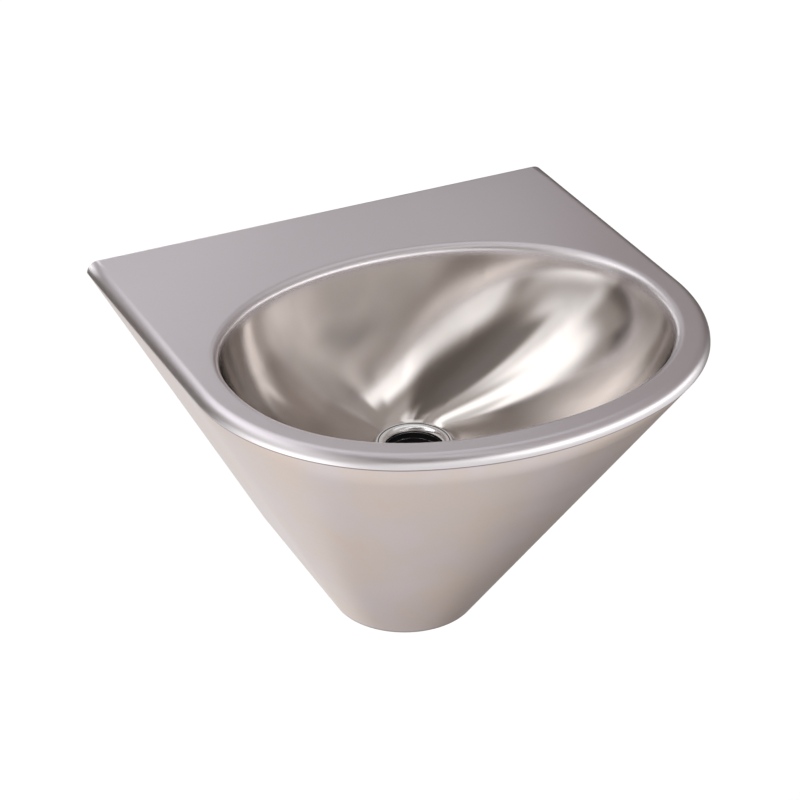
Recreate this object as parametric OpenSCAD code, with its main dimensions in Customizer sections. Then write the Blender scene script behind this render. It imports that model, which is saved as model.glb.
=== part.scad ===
// Wall-hung stainless hand basin: one pressed deck and bowl over a tapering cover.
// Millimetres. Z points up, Y points into the wall, X to the right as seen from the room.
// The origin lies on the wall, midway across the basin, level with the top of the deck.

/* [Deck and rim] */
// Width across the rolled rim
basin_w = 400; // [380:1:430]
// Depth from the wall to the front of the rim
basin_d = 390; // [375:1:405]
// Height from the deck down to the foot of the cover
basin_h = 274; // [255:1:300]
// Length of each straight side, measured from the wall
side_straight = 220; // [205:1:235]
// Radius of the shallow arc across the front
front_radius = 260; // [240:5:340]
// Radius of the rolled rim
rim_r = 9; // [7:0.5:10]
// Thickness of the pressed sheet
sheet = 1.2; // [1:0.1:1.5]
// Drop of the fold that lies on the wall
wall_fold = 30; // [24:1:34]

/* [Bowl] */
// Deck left at each side of the bowl
side_deck = 27.5; // [25:0.5:36]
// Deck left in front of the bowl
front_deck = 28; // [26:0.5:36]
// Deck left behind the bowl
rear_deck = 88; // [80:1:100]
// Distance from the wall to the widest part of the bowl
bowl_mid = 218.5; // [205:0.5:230]
// Depth from the deck to the seat of the waste
bowl_depth = 127; // [110:1:135]
// Radius of the lip where the deck turns down into the bowl
lip_r = 7; // [4:0.5:9]
// Squareness of the bowl's plan at the front, where 2 is an ellipse
front_square = 2.22; // [2:0.01:2.4]
// Squareness of the bowl's plan at the back
back_square = 2.04; // [2:0.01:2.3]
// Part of a quarter ellipse that the bowl's wall follows, in degrees, where 90 ends upright
wall_turn = 78; // [60:1:80]
// Even fall of the bowl towards the waste, to which the curve of its wall adds
floor_fall = 45; // [30:1:50]

/* [Waste] */
// Distance from the wall to the centre of the waste
waste_from_wall = 167; // [150:1:180]
// Diameter of the visible flange
flange_d = 60; // [58:0.5:62]
// Diameter of the waste's mouth
mouth_d = 44.4; // [42:0.1:45]
// Diameter of the hole in the bowl
waste_hole_d = 50; // [49.6:0.1:51]
// Diameter of the tail over its thread, G 1 1/4
tail_d = 41.91; // [41.8:0.01:42]
// Bore of the tail
tail_bore_d = 35; // [30:0.5:36]
// Length of the tail below the seat of the waste
tail_len = 62; // [50:1:80]
// Depth of the pressed seat round the waste
seat_drop = 2; // [1:0.5:3]

/* [Cover] */
// Width of the cover at its foot
foot_w = 116; // [104:1:130]
// Depth of the cover at its foot, from the wall
foot_d = 208; // [195:1:225]
// How far the cover stands in from the edge of the rim
cover_inset = 0.4; // [0.2:0.1:1]
// Shadow gap between the rim and the cover
cover_gap = 0.5; // [0.3:0.1:0.9]
// Width of the folds that lie on the wall
return_w = 20; // [14:1:22]
// Width of the fold round the foot
foot_return = 10; // [6:1:14]
// Height of the lower fixing holes above the foot
lower_hole_up = 28; // [20:1:40]
// Diameter of the lower fixing holes
lower_hole_d = 7; // [5:0.5:8]

/* [Fixings under the deck] */
// Diameter of the welded studs
stud_d = 5; // [4:1:5]
// Length of the welded studs
stud_len = 16; // [15:0.5:20]
// Distance from the edge of the rim to the studs
stud_inset = 13.5; // [12.5:0.5:15]
// Distance from the wall to the rear studs
rear_stud_y = 60; // [40:1:75]

/* [Hanging] */
// Width of the rail behind the basin
rail_w = 260; // [200:5:270]
// Distance from the deck down to the edge that the basin hangs on
rail_drop = 56; // [48:1:62]
// Thickness of the rail and of the wall bracket
rail_t = 2; // [1.5:0.5:3]
// Width of the wall bracket
bracket_w = 220; // [200:5:230]
// Height of the bracket's plate below its hook
bracket_plate = 46; // [40:1:60]
// Height of the bracket's hook
hook_h = 20; // [14:1:22]
// Diameter of the screw holes
screw_hole_d = 8; // [6:0.5:9]
// Distance between the screw holes across the bracket
screw_span = 180; // [150:5:190]
// Distance between the two rows of screw holes
screw_rise = 24; // [20:1:28]

/* [Hidden] */

// Colours of the finishes
SATIN = [0.72, 0.70, 0.70];
COVER_SATIN = [0.74, 0.71, 0.69];
PLAIN_STEEL = [0.60, 0.61, 0.62];
CHROME = [0.85, 0.86, 0.88];
BLACK_RUBBER = [0.10, 0.10, 0.10];
WHITE_NYLON = [0.90, 0.90, 0.87];
BRASS = [0.80, 0.65, 0.32];

// Steps along the outline: each side, each quarter of the front, and the wall edge
side_steps = 8;
arc_steps = 20;
back_steps = 14;
// Steps down the bowl's wall, round its lip and round the rim
bowl_steps = 12;
lip_steps = 4;
rim_steps = 6;
// Depth of a cut's overrun, so that no face is left at its ends
over = 1;

// The outline has straight sides, a corner arc each side and one front arc, all tangent
half_w = basin_w / 2;
front_run = basin_d - side_straight;
corner_r = (2 * front_run * front_radius - half_w * half_w - front_run * front_run)
    / (2 * (front_radius - half_w));
corner_end = acos((half_w - corner_r) / (front_radius - corner_r));

// Bowl
bowl_half = half_w - side_deck;
bowl_front = basin_d - front_deck - bowl_mid;
bowl_back = bowl_mid - rear_deck;
waste_xy = [0, -waste_from_wall];
// Flat seat left outside the flange
seat_margin = 1;
seat_r = flange_d / 2 + seat_margin;
seat_rim_r = seat_r + seat_drop;

// Cover
cover_top = -(rim_r + cover_gap);
foot_r = foot_w / 2;
foot_straight = foot_d - foot_r;
cover_drop = basin_h + cover_top;
side_lean = (half_w - cover_inset - foot_r) / cover_drop;
tab_angles = [22, 66];
tab_w = 16;
tab_root = 1.4;
weld_lap = 0.3;
fold_gap = 3;
lower_hole_z = lower_hole_up - basin_h;
lower_hole_x = cover_side(lower_hole_z) - return_w / 2;

// Fixings
stud_clear = 0.5;
thread_clear = 0.05;
nut_flange_d = stud_d * 2.36;
nut_af = stud_d * 1.6;
nut_h = stud_d;
nut_flange_h = 1.2;
hex_corner = 1 / cos(30);

// Hanging
hook_clear = 0.4;
rail_top = 8;
hook_gap = sheet + rail_t + hook_clear;
bracket_top = -rail_drop;
screw_mid_z = bracket_top - rail_t - bracket_plate / 2;

// Earth tag at the middle of the rail
tag_t = 1.2;
tag_w = 16;
tag_h = 18;
tag_reach = 17;
tag_root_y = -(sheet + rail_t);
tag_foot_z = -rail_top - tag_h;
tag_screw_d = 4;
tag_screw_len = 12;
tag_screw_y = tag_root_y - tag_t - (tag_reach - tag_t) / 2;

// Waste
seal_t = 1;
flange_t = 2.6;
neck_clear = 0.6;
neck_r = waste_hole_d / 2 - neck_clear;
mouth_r = mouth_d / 2;
mouth_drop = 1.2;
lower_seal_t = 4;
neck_short = 0.4;
neck_len = sheet + lower_seal_t - neck_short;
tail_r = tail_d / 2;
tail_bore_r = tail_bore_d / 2;
funnel_drop = 6.3;
ring_margin = 1.5;
ring_seat_r = seat_r - ring_margin;
washer_t = 2;
nut_thick = 8;
nut_foot = -(sheet + lower_seal_t + washer_t + nut_thick);
relief_gap = 2;
relief_h = 2;
relief_deep = 1.2;
relief_top = nut_foot - relief_gap;
relief_r = tail_r - relief_deep;
waste_nut_af = 52;
seal_clear = 0.3;
seal_inset = 0.8;

// Where a straight side is divided, so that the bowl's rings fan out evenly
function side_y(i) =
    let (corner = atan(bowl_mid / half_w))
    -side_straight * (1 - tan(corner * (1 - i / side_steps)) / tan(corner));

// Share of the half width at which the wall edge is divided
function back_share(i) =
    let (corner = atan(half_w / bowl_mid))
    tan(corner * (2 * i / back_steps - 1)) / tan(corner);

// Point of the curved front whose outward normal has this angle, moved in by inset
function front_point(angle, inset) =
    let (
        quarter = min(angle, 180 - angle),
        side = angle > 90 ? -1 : 1,
        corner = quarter < corner_end,
        r = (corner ? corner_r : front_radius) - inset,
        middle = corner ? [half_w - corner_r, -side_straight] : [0, front_radius - basin_d]
    )
    [side * (middle.x + r * cos(quarter)), middle.y - r * sin(quarter)];

// One closed ring round the deck, from the right-hand corner at the wall and clockwise
function deck_ring(inset, z, back) =
    let (x = half_w - inset)
    concat(
        [for (i = [0:side_steps - 1]) [x, min(back, side_y(i)), z]],
        [for (i = [0:2 * arc_steps]) let (p = front_point(i * 90 / arc_steps, inset)) [p.x, p.y, z]],
        [for (i = [side_steps - 1:-1:0]) [-x, min(back, side_y(i)), z]],
        [for (i = [1:back_steps - 1]) [x * back_share(i), back, z]]
    );

// Directions from the middle of the bowl to the points of the deck's outline
RAYS = [for (p = deck_ring(0, 0, 0)) [p.x, p.y + bowl_mid]];

// Point of the bowl's mouth along a ray, and the outward normal there
function mouth_size(ray, grow) = [bowl_half, ray.y < 0 ? bowl_front : bowl_back] + [grow, grow];
function mouth_power(ray) = ray.y < 0 ? front_square : back_square;
function mouth_point(ray, grow) =
    let (
        size = mouth_size(ray, grow),
        n = mouth_power(ray),
        reach = pow(pow(abs(ray.x) / size.x, n) + pow(abs(ray.y) / size.y, n), -1 / n)
    )
    [ray.x * reach, ray.y * reach - bowl_mid];
function mouth_normal(ray) =
    let (
        size = mouth_size(ray, 0),
        n = mouth_power(ray) - 1,
        p = mouth_point(ray, 0) + [0, bowl_mid]
    )
    unit([
        sign(p.x) * pow(abs(p.x) / size.x, n) / size.x,
        sign(p.y) * pow(abs(p.y) / size.y, n) / size.y
    ]);
function unit(v) = v / norm(v);

// Ring round the pressed seat of the waste
function seat_ring(r, z) =
    [for (ray = RAYS) let (p = waste_xy + r * unit(mouth_point(ray, 0) - waste_xy)) [p.x, p.y, z]];

// The bowl's wall is part of a quarter ellipse in each section. At one turn of the quarter it
// has come this share of its way out, risen this share of its rise, and has this slope.
function wall_out(turn) = sin(turn) / sin(wall_turn);
function wall_up(turn) = (1 - cos(turn)) / (1 - cos(wall_turn));
function wall_steep(turn) = tan(turn) * sin(wall_turn) / (1 - cos(wall_turn));

// One spoke of the wall where the lip has turned by this angle: its foot, its way out and its rise
function spoke_to(ray, lip_turn) =
    let (foot = waste_xy + seat_rim_r * unit(mouth_point(ray, 0) - waste_xy))
    [
        foot,
        mouth_point(ray, lip_r * (1 - sin(lip_turn))) - foot,
        bowl_depth - seat_drop - floor_fall - lip_r * (1 - cos(lip_turn))
    ];

// Slope of a spoke's wall across its level line, at one turn
function spoke_slope(spoke, turn, plan) = (spoke[2] * wall_steep(turn) + floor_fall) / (spoke[1] * plan);

// The spoke of a ray, and the turn of its lip, which ends on the wall's own slope
function spoke_of(ray) =
    let (lip_turn = atan(spoke_slope(spoke_to(ray, wall_turn), wall_turn, mouth_normal(ray))))
    concat(spoke_to(ray, lip_turn), [lip_turn]);
SPOKES = [for (ray = RAYS) spoke_of(ray)];

// Ring on the bowl's wall at one turn. The underside lies one sheet outside it along the
// surface's normal.
function bowl_ring(turn, under) =
    [for (i = [0:len(RAYS) - 1])
        let (
            spoke = SPOKES[i],
            out = wall_out(turn),
            p = spoke[0] + out * spoke[1],
            height = spoke[2] * wall_up(turn) + floor_fall * out,
            plan = unit(out * mouth_normal(RAYS[i]) + (1 - out) * unit(spoke[1])),
            slope = atan(spoke_slope(spoke, turn, plan))
        )
        [
            p.x + under * sin(slope) * plan.x,
            p.y + under * sin(slope) * plan.y,
            seat_drop - bowl_depth + height - under * cos(slope)
        ]
    ];

// Ring on the lip, at this share of its turn from the deck down to the wall
function lip_ring(share, under) =
    [for (i = [0:len(RAYS) - 1])
        let (
            turn = share * SPOKES[i][3],
            lip = lip_r - under,
            p = mouth_point(RAYS[i], lip_r - lip * sin(turn))
        )
        [p.x, p.y, lip * cos(turn) - lip_r]
    ];

// Rings of the pressing, from the seat up the bowl and over the deck to the rim's edge
function pressing_rings(under) =
    let (
        roll = rim_r - under,
        shift = under * tan(22.5)
    )
    concat(
        [seat_ring(seat_r + shift, -bowl_depth - under)],
        [seat_ring(seat_rim_r + shift, seat_drop - bowl_depth - under)],
        [for (i = [1:bowl_steps - 1]) bowl_ring(wall_turn * i / bowl_steps, under)],
        [for (i = [lip_steps:-1:0]) lip_ring(i / lip_steps, under)],
        [for (i = [0:rim_steps])
            let (a = 90 * i / rim_steps) deck_ring(rim_r - roll * sin(a), roll * cos(a) - rim_r, -under)]
    );

function backward(list) = [for (i = [len(list) - 1:-1:0]) list[i]];

// Closed solid through rings that all have the same number of points
module skin(rings) {
    n = len(rings[0]);
    last = len(rings) - 1;
    sides = [
        for (j = [0:last - 1], i = [0:n - 1])
            let (k = (i + 1) % n)
            each [
                [j * n + i, (j + 1) * n + i, (j + 1) * n + k],
                [j * n + i, (j + 1) * n + k, j * n + k]
            ]
    ];
    caps = [[for (i = [0:n - 1]) i], [for (i = [n - 1:-1:0]) last * n + i]];
    polyhedron([for (ring = rings) each ring], concat(caps, sides));
}

module at_waste() {
    translate([waste_xy.x, waste_xy.y, -bowl_depth]) children();
}

// Deck, bowl and rolled rim pressed from one sheet, with the fold that lies on the wall
module basin() {
    fold_w = 2 * (cover_side(-wall_fold) - 2 * sheet);
    color(SATIN) difference() {
        union() {
            skin(concat(pressing_rings(0), backward(pressing_rings(sheet))));
            translate([-fold_w / 2, -sheet, -wall_fold]) cube([fold_w, sheet, wall_fold - sheet / 2]);
        }
        at_waste() translate([0, 0, -sheet - over])
            cylinder(d = waste_hole_d, h = sheet + 2 * over, $fn = 96);
    }
}

// Outer face of the cover's straight side at one height
function cover_side(z) = half_w - cover_inset - side_lean * (cover_top - z);

// Section of the cover where its outward normal has this angle
function cover_section(angle, y_share) =
    let (
        quarter = min(angle, 180 - angle),
        side = angle > 90 ? -1 : 1,
        top = front_point(quarter, cover_inset),
        foot = [foot_r * cos(quarter), -foot_straight - foot_r * sin(quarter)],
        normal = [cos(quarter), -sin(quarter)],
        lean = ((top - foot) * normal) / cover_drop,
        wall = sheet * sqrt(1 + lean * lean),
        top_in = top - wall * normal,
        foot_in = foot - wall * normal,
        ends = [[top, cover_top], [top_in, cover_top], [foot_in, -basin_h], [foot, -basin_h]]
    )
    [for (e = ends) [side * e[0].x, e[0].y * y_share, e[1]]];

// Places of the studs: the point on the rim's edge and the turn of its outward normal
function stud_spots() = [
    for (side = [1, -1])
        each concat(
            [[side * half_w, -rear_stud_y, side > 0 ? 0 : 180]],
            [for (a = tab_angles) let (p = front_point(a, 0)) [side * p.x, p.y, side > 0 ? -a : 180 + a]]
        )
];

module at_studs(z) {
    for (spot = stud_spots())
        translate([spot.x, spot.y, z]) rotate(spot.z) translate([-stud_inset, 0]) children();
}

// Plan of the cover's foot, drawn in by inset and open at the wall
module foot_plan(inset) {
    r = foot_r - inset;
    translate([-r, -foot_straight]) square([2 * r, foot_straight + over]);
    translate([0, -foot_straight]) circle(r, $fn = 96);
}

// Tapering cover with folds on the wall, a fold round its foot and six tabs under the rim
module cover() {
    turns = [for (i = [0:2 * arc_steps]) i * 90 / arc_steps];
    sections = concat(
        [cover_section(0, 0)],
        [for (a = turns) cover_section(a, 1)],
        [cover_section(180, 0)]
    );
    fold_top = -wall_fold - fold_gap;
    color(COVER_SATIN) difference() {
        union() {
            skin(sections);
            for (side = [0, 1]) mirror([side, 0, 0]) rotate([90, 0, 0]) linear_extrude(sheet)
                polygon([
                    [cover_side(fold_top) - weld_lap, fold_top],
                    [cover_side(fold_top) - return_w, fold_top],
                    [cover_side(-basin_h) - return_w, -basin_h],
                    [cover_side(-basin_h) - weld_lap, -basin_h]
                ]);
            translate([0, 0, -basin_h]) linear_extrude(sheet) intersection() {
                difference() {
                    foot_plan(weld_lap);
                    foot_plan(foot_return);
                }
                translate([-foot_w, -2 * foot_d]) square([2 * foot_w, 2 * foot_d]);
            }
            at_studs(cover_top - sheet) linear_extrude(sheet) {
                circle(d = tab_w, $fn = 48);
                translate([0, -tab_w / 2]) square([stud_inset - cover_inset - tab_root, tab_w]);
            }
        }
        at_studs(cover_top - sheet - over)
            cylinder(d = stud_d + 2 * stud_clear, h = sheet + 2 * over, $fn = 32);
        for (side = [-1, 1]) translate([side * lower_hole_x, over, lower_hole_z]) rotate([90, 0, 0])
            cylinder(d = lower_hole_d, h = sheet + 2 * over, $fn = 32);
    }
}

// Threaded studs welded under the deck, each with its low weld flange
module weld_studs() {
    chamfer = 0.6;
    weld_w = 1.5;
    flange_h = 0.8;
    color(PLAIN_STEEL) at_studs(-sheet) rotate([180, 0, 0]) {
        cylinder(d = stud_d + weld_w, h = flange_h, $fn = 32);
        cylinder(d = stud_d, h = stud_len - chamfer, $fn = 32);
        translate([0, 0, stud_len - chamfer])
            cylinder(d1 = stud_d, d2 = stud_d - 2 * chamfer, h = chamfer, $fn = 32);
    }
}

// Flange nuts that pull the cover's tabs up
module flange_nuts() {
    color(PLAIN_STEEL) at_studs(cover_top - sheet) rotate([180, 0, 0]) difference() {
        union() {
            cylinder(d = nut_flange_d, h = nut_flange_h, $fn = 48);
            cylinder(d = nut_af * hex_corner, h = nut_h, $fn = 6);
        }
        translate([0, 0, -over]) cylinder(d = stud_d + 2 * thread_clear, h = nut_h + 2 * over, $fn = 32);
    }
}

// Strip welded inside the wall fold, whose lower edge stands in the bracket's hook
module hanging_rail() {
    color(PLAIN_STEEL) translate([-rail_w / 2, -sheet - rail_t, -rail_drop])
        cube([rail_w, rail_t, rail_drop - rail_top]);
}

// Bracket screwed to the wall: a plate, a shelf and the hook that the rail drops behind
module wall_bracket() {
    shelf_y = hook_gap + rail_t;
    color(PLAIN_STEEL) difference() {
        rotate([90, 0, -90]) translate([0, bracket_top, -bracket_w / 2]) linear_extrude(bracket_w)
            polygon([
                [0, 0],
                [hook_gap, 0],
                [hook_gap, hook_h],
                [shelf_y, hook_h],
                [shelf_y, -rail_t],
                [rail_t, -rail_t],
                [rail_t, -rail_t - bracket_plate],
                [0, -rail_t - bracket_plate]
            ]);
        for (x = [-1, 1], z = [-1, 1])
            translate([x * screw_span / 2, over, screw_mid_z + z * screw_rise / 2]) rotate([90, 0, 0])
                cylinder(d = screw_hole_d, h = rail_t + 2 * over, $fn = 32);
    }
}

module at_tag_screw(z) {
    translate([0, tag_screw_y, tag_foot_z + z]) children();
}

// Angle that takes the earth wire, welded to the middle of the rail
module earth_tag() {
    color(PLAIN_STEEL) difference() {
        translate([-tag_w / 2, tag_root_y, tag_foot_z]) {
            translate([0, -tag_t, 0]) cube([tag_w, tag_t, tag_h]);
            translate([0, -tag_reach, 0]) cube([tag_w, tag_reach, tag_t]);
        }
        at_tag_screw(-over) cylinder(d = tag_screw_d + 2 * stud_clear, h = tag_t + 2 * over, $fn = 32);
    }
}

// Pan-headed screw that stands up through the tag's foot
module earth_screw() {
    head_h = 2.4;
    slot_w = 1;
    color(PLAIN_STEEL) at_tag_screw(0) difference() {
        union() {
            translate([0, 0, -head_h])
                cylinder(d1 = tag_screw_d * 1.5, d2 = tag_screw_d * 2, h = head_h, $fn = 48);
            cylinder(d = tag_screw_d, h = tag_screw_len, $fn = 32);
        }
        translate([0, 0, -head_h - over]) for (turn = [0, 90]) rotate(turn)
            translate([-tag_screw_d / 2, -slot_w / 2, 0]) cube([tag_screw_d, slot_w, over + head_h / 2]);
    }
}

module earth_nut() {
    across_flats = tag_screw_d * 1.75;
    color(BRASS) at_tag_screw(tag_t) difference() {
        cylinder(d = across_flats * hex_corner, h = tag_screw_d * 0.8, $fn = 6);
        translate([0, 0, -over])
            cylinder(d = tag_screw_d + 2 * thread_clear, h = tag_screw_d + 2 * over, $fn = 32);
    }
}

// Waste with its grooved flange, rolled mouth, funnel and tail. A relief groove parts the
// backnut's stretch of the tail from the stretch that takes the trap.
module waste_body() {
    top = seal_t + flange_t;
    flange_r = flange_d / 2;
    edge = 0.8;
    land = 1.8;
    groove_w = 0.7;
    groove_deep = 0.6;
    groove_out = flange_r - land;
    groove_in = groove_out - groove_w;
    roll_low = 0.3;
    roll_top = top - roll_low;
    roll_w = groove_in - mouth_r;
    thread_chamfer = 1;
    color(CHROME) at_waste() rotate_extrude($fn = 96) polygon(concat(
        [
            [neck_r, -neck_len],
            [neck_r, seal_t],
            [flange_r, seal_t],
            [flange_r, top - edge],
            [flange_r - edge, top],
            [groove_out, top],
            [groove_out, top - groove_deep],
            [groove_in, top - groove_deep]
        ],
        [for (a = [0:15:90]) [groove_in - roll_w * sin(a), roll_top * cos(a) - mouth_drop * sin(a)]],
        [
            [tail_bore_r, -mouth_drop - funnel_drop],
            [tail_bore_r, -tail_len],
            [tail_r - thread_chamfer, -tail_len],
            [tail_r, thread_chamfer - tail_len],
            [tail_r, relief_top - relief_h],
            [relief_r, relief_top - relief_h],
            [relief_r, relief_top],
            [tail_r, relief_top],
            [tail_r, -neck_len]
        ]
    ));
}

// Flat ring with a hole, the form of the seals and the washer
module ring(outer_r, inner_r, thick) {
    rotate_extrude($fn = 96) translate([inner_r, 0]) square([outer_r - inner_r, thick]);
}

module waste_upper_seal() {
    color(BLACK_RUBBER) at_waste() ring(flange_d / 2 - seal_inset, neck_r + seal_clear, seal_t);
}

module waste_lower_seal() {
    color(BLACK_RUBBER) at_waste() translate([0, 0, -sheet - lower_seal_t])
        ring(ring_seat_r, neck_r + seal_clear, lower_seal_t);
}

module waste_slip_washer() {
    color(WHITE_NYLON) at_waste() translate([0, 0, -sheet - lower_seal_t - washer_t])
        ring(ring_seat_r, tail_r + seal_clear, washer_t);
}

// Hexagon backnut with a round pressure face
module waste_backnut() {
    face_h = 1.5;
    color(BRASS) at_waste() translate([0, 0, nut_foot]) difference() {
        union() {
            cylinder(d = waste_nut_af * hex_corner, h = nut_thick - face_h, $fn = 6);
            cylinder(d = waste_nut_af, h = nut_thick, $fn = 96);
        }
        translate([0, 0, -over]) cylinder(r = tail_r + thread_clear, h = nut_thick + 2 * over, $fn = 96);
    }
}

basin();
cover();
weld_studs();
flange_nuts();
hanging_rail();
wall_bracket();
earth_tag();
earth_screw();
earth_nut();
waste_body();
waste_upper_seal();
waste_lower_seal();
waste_slip_washer();
waste_backnut();
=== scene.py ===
"""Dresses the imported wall-hung hand basin in pressed, satin and chromed metal.

Metres, in the frame's own axes.
"""
import math

import bmesh
import bpy
from mathutils import Matrix, Vector


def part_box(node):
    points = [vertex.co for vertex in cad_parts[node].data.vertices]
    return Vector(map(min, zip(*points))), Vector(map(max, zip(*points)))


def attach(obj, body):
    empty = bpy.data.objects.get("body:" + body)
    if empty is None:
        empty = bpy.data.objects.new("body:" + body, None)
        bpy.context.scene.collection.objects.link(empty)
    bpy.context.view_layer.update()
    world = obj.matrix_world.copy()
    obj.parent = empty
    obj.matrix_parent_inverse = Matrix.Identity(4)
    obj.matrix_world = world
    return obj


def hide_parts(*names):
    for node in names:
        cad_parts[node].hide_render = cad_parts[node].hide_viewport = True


bl_info = {
    "name": "Wall-hung hand basin",
    "version": (1, 0, 0),
    "blender": (4, 5, 0),
    "location": "3D View > Sidebar > Hand basin",
    "description": "Dresses a packed stainless hand basin: bowl, cover, waste and fixings",
    "category": "Object",
}

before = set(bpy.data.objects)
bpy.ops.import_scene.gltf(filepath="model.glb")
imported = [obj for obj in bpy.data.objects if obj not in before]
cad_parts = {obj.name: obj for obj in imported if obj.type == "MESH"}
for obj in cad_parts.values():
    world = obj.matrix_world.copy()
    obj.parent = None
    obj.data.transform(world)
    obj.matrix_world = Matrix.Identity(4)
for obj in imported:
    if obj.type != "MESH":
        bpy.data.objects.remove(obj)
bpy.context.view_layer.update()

MM = 0.001
HALF_TURN = math.pi
QUARTER = math.pi / 2
HEX_CORNER = 1 / math.cos(math.radians(30))
# Points nearer to each other than this are one point
TOUCH = 1e-6
BASIN_LOW, BASIN_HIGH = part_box("basin")
COVER_LOW, COVER_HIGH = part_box("cover")
WASTE_LOW, WASTE_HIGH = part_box("waste_body")
SEAL_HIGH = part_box("waste_upper_seal")[1]
BACKNUT_LOW, BACKNUT_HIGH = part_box("waste_backnut")
RAIL_LOW, RAIL_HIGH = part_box("hanging_rail")
BRACKET_LOW, BRACKET_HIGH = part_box("wall_bracket")

# Steps along the outline: each side, each quarter of the front, and the wall edge
SIDE_STEPS = 14
ARC_STEPS = 44
BACK_STEPS = 30
# Steps down the bowl, round its lip and round the rim
BOWL_STEPS = 40
LIP_STEPS = 10
RIM_STEPS = 14
TURN_STEPS = 128
# Share of the half width on both sides of the wall fold's ends that has no other station
FOLD_CLEAR = 0.02

# Finish of every piece: the break of its cut edges, and the sharpest edge that is shaded smooth
EDGE_BREAK = 0.2 * MM
SMOOTH_ANGLE = math.radians(35)
# Heights of the cover's two middle rings
COVER_RINGS = (-0.10, -0.19)
# Normals of the front studs, in degrees from +X
STUD_ANGLES = (22, 66)
# The waste: where its mouth and the neck in the bowl's hole end, and the groove in its flange
MOUTH_LOW = SEAL_HIGH.z - 2.2 * MM
NECK_FOOT = SEAL_HIGH.z - 5.8 * MM
GROOVE_INSET = 1.8 * MM
GROOVE_WIDTH = 0.7 * MM
GROOVE_DEPTH = 0.6 * MM
# Size of the floor, and the weak lamp: power, size, place and the point that it faces
FLOOR_SIZE = 14
LAMP_POWER = 6
LAMP_SIZE = 1.4
LAMP_PLACE = (-1.6, -0.9, 1.6)
LAMP_TARGET = (0, -0.2, -0.1)


def length(name, about, size, low=0.0, high=1.0):
    """A size in metres that a user may change."""
    return bpy.props.FloatProperty(name=name, description=about, default=size, min=low, max=high,
                                   unit="LENGTH", precision=4)


def colour(name, about, value):
    """A colour that a user may change."""
    return bpy.props.FloatVectorProperty(name=name, description=about, default=value, size=3,
                                         min=0.0, max=1.0, subtype="COLOR")


class RimSizes(bpy.types.PropertyGroup):
    """Sizes of the deck, its rolled rim and the fold on the wall."""

    half_width: length("Half width", "Half the width across the rolled rim", BASIN_HIGH.x)
    depth: length("Depth", "Depth from the wall to the front of the rim", -BASIN_LOW.y)
    side_straight: length("Straight side", "Length of each straight side, from the wall", 0.220)
    front_radius: length("Front radius", "Radius of the shallow arc across the front", 0.260)
    roll: length("Rim radius", "Radius of the rolled rim", 0.009)
    sheet: length("Sheet", "Thickness of the pressed sheet", 0.0012)
    fold: length("Wall fold", "Drop of the fold that lies on the wall", 0.030)
    fold_half: length("Half fold", "Half the width of the fold that lies on the wall", 0.1862)


class BowlSizes(bpy.types.PropertyGroup):
    """Sizes of the pressed bowl and the seat of its waste."""

    half_width: length("Half width", "Half the width of the bowl's mouth", 0.1725)
    front: length("Front", "Depth of the mouth in front of its widest line", 0.1435)
    back: length("Back", "Depth of the mouth behind its widest line", 0.1305)
    middle: length("Middle", "Distance from the wall to the widest line", 0.2185)
    depth: length("Depth", "Depth from the deck to the seat of the waste", 0.127)
    lip: length("Lip radius", "Radius where the deck turns down into the bowl", 0.007)
    floor_fall: length("Floor fall", "Even fall towards the waste, below the wall's curve", 0.045)
    seat: length("Seat radius", "Radius of the pressed seat round the waste", 0.031)
    seat_drop: length("Seat drop", "Depth of the pressed seat", 0.002)
    hole: length("Hole radius", "Radius of the hole for the waste", 0.025)
    front_square: bpy.props.FloatProperty(
        name="Front squareness", description="Squareness of the mouth at the front",
        default=2.22, min=2.0
    )
    back_square: bpy.props.FloatProperty(
        name="Back squareness", description="Squareness of the mouth at the back",
        default=2.04, min=2.0
    )
    wall_turn: bpy.props.FloatProperty(
        name="Wall turn", description="Part of a quarter ellipse that the wall follows",
        default=math.radians(78), min=0.5, max=1.45, subtype="ANGLE"
    )


class CoverSizes(bpy.types.PropertyGroup):
    """Sizes of the tapering cover."""

    inset: length("Inset", "How far the cover stands in from the rim", 0.0004)
    top: length("Top", "Height of the cover's upper edge", COVER_HIGH.z, -1.0, 0.0)
    foot: length("Foot", "Height of the cover's foot", COVER_LOW.z, -1.0, 0.0)
    foot_radius: length("Foot radius", "Radius of the round front of the foot", 0.058)
    foot_straight: length("Foot side", "Length of the foot's straight sides", 0.150)
    wall_return: length("Wall return", "Width of the folds on the wall", 0.020)
    return_top: length("Return top", "Height where the folds on the wall begin", -0.033, -1.0, 0.0)
    foot_return: length("Foot return", "Width of the fold round the foot", 0.010)
    hole: length("Hole radius", "Radius of the lower fixing holes", 0.0035)
    hole_height: length("Hole height", "Height of the lower fixing holes", -0.246, -1.0, 0.0)
    tab_width: length("Tab width", "Width of the tabs under the rim", 0.016)


class FixingSizes(bpy.types.PropertyGroup):
    """Sizes of the studs and nuts under the deck."""

    stud: length("Stud radius", "Radius of the welded studs", 0.0025)
    stud_length: length("Stud length", "Length of the welded studs", 0.016)
    pitch: length("Pitch", "Pitch of the studs' thread", 0.0008)
    inset: length("Inset", "Distance from the edge of the rim to the studs", 0.0135)
    rear: length("Rear", "Distance from the wall to the rear studs", 0.060)
    flange: length("Flange radius", "Radius of the nuts' flanges", 0.0059)
    flats: length("Flats", "Distance across the nuts' flats", 0.008)


class HangingSizes(bpy.types.PropertyGroup):
    """Sizes of the wall bracket and of the earth screw."""

    sheet: length("Sheet", "Thickness of the bracket", 0.002)
    hole: length("Hole radius", "Radius of the bracket's screw holes", 0.004)
    hole_span: length("Hole span", "Distance between the screw holes across the wall", 0.180)
    hole_rise: length("Hole rise", "Distance between the screw holes up the wall", 0.024)
    earth_screw: length("Earth screw", "Radius of the earth screw", 0.002)


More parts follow.
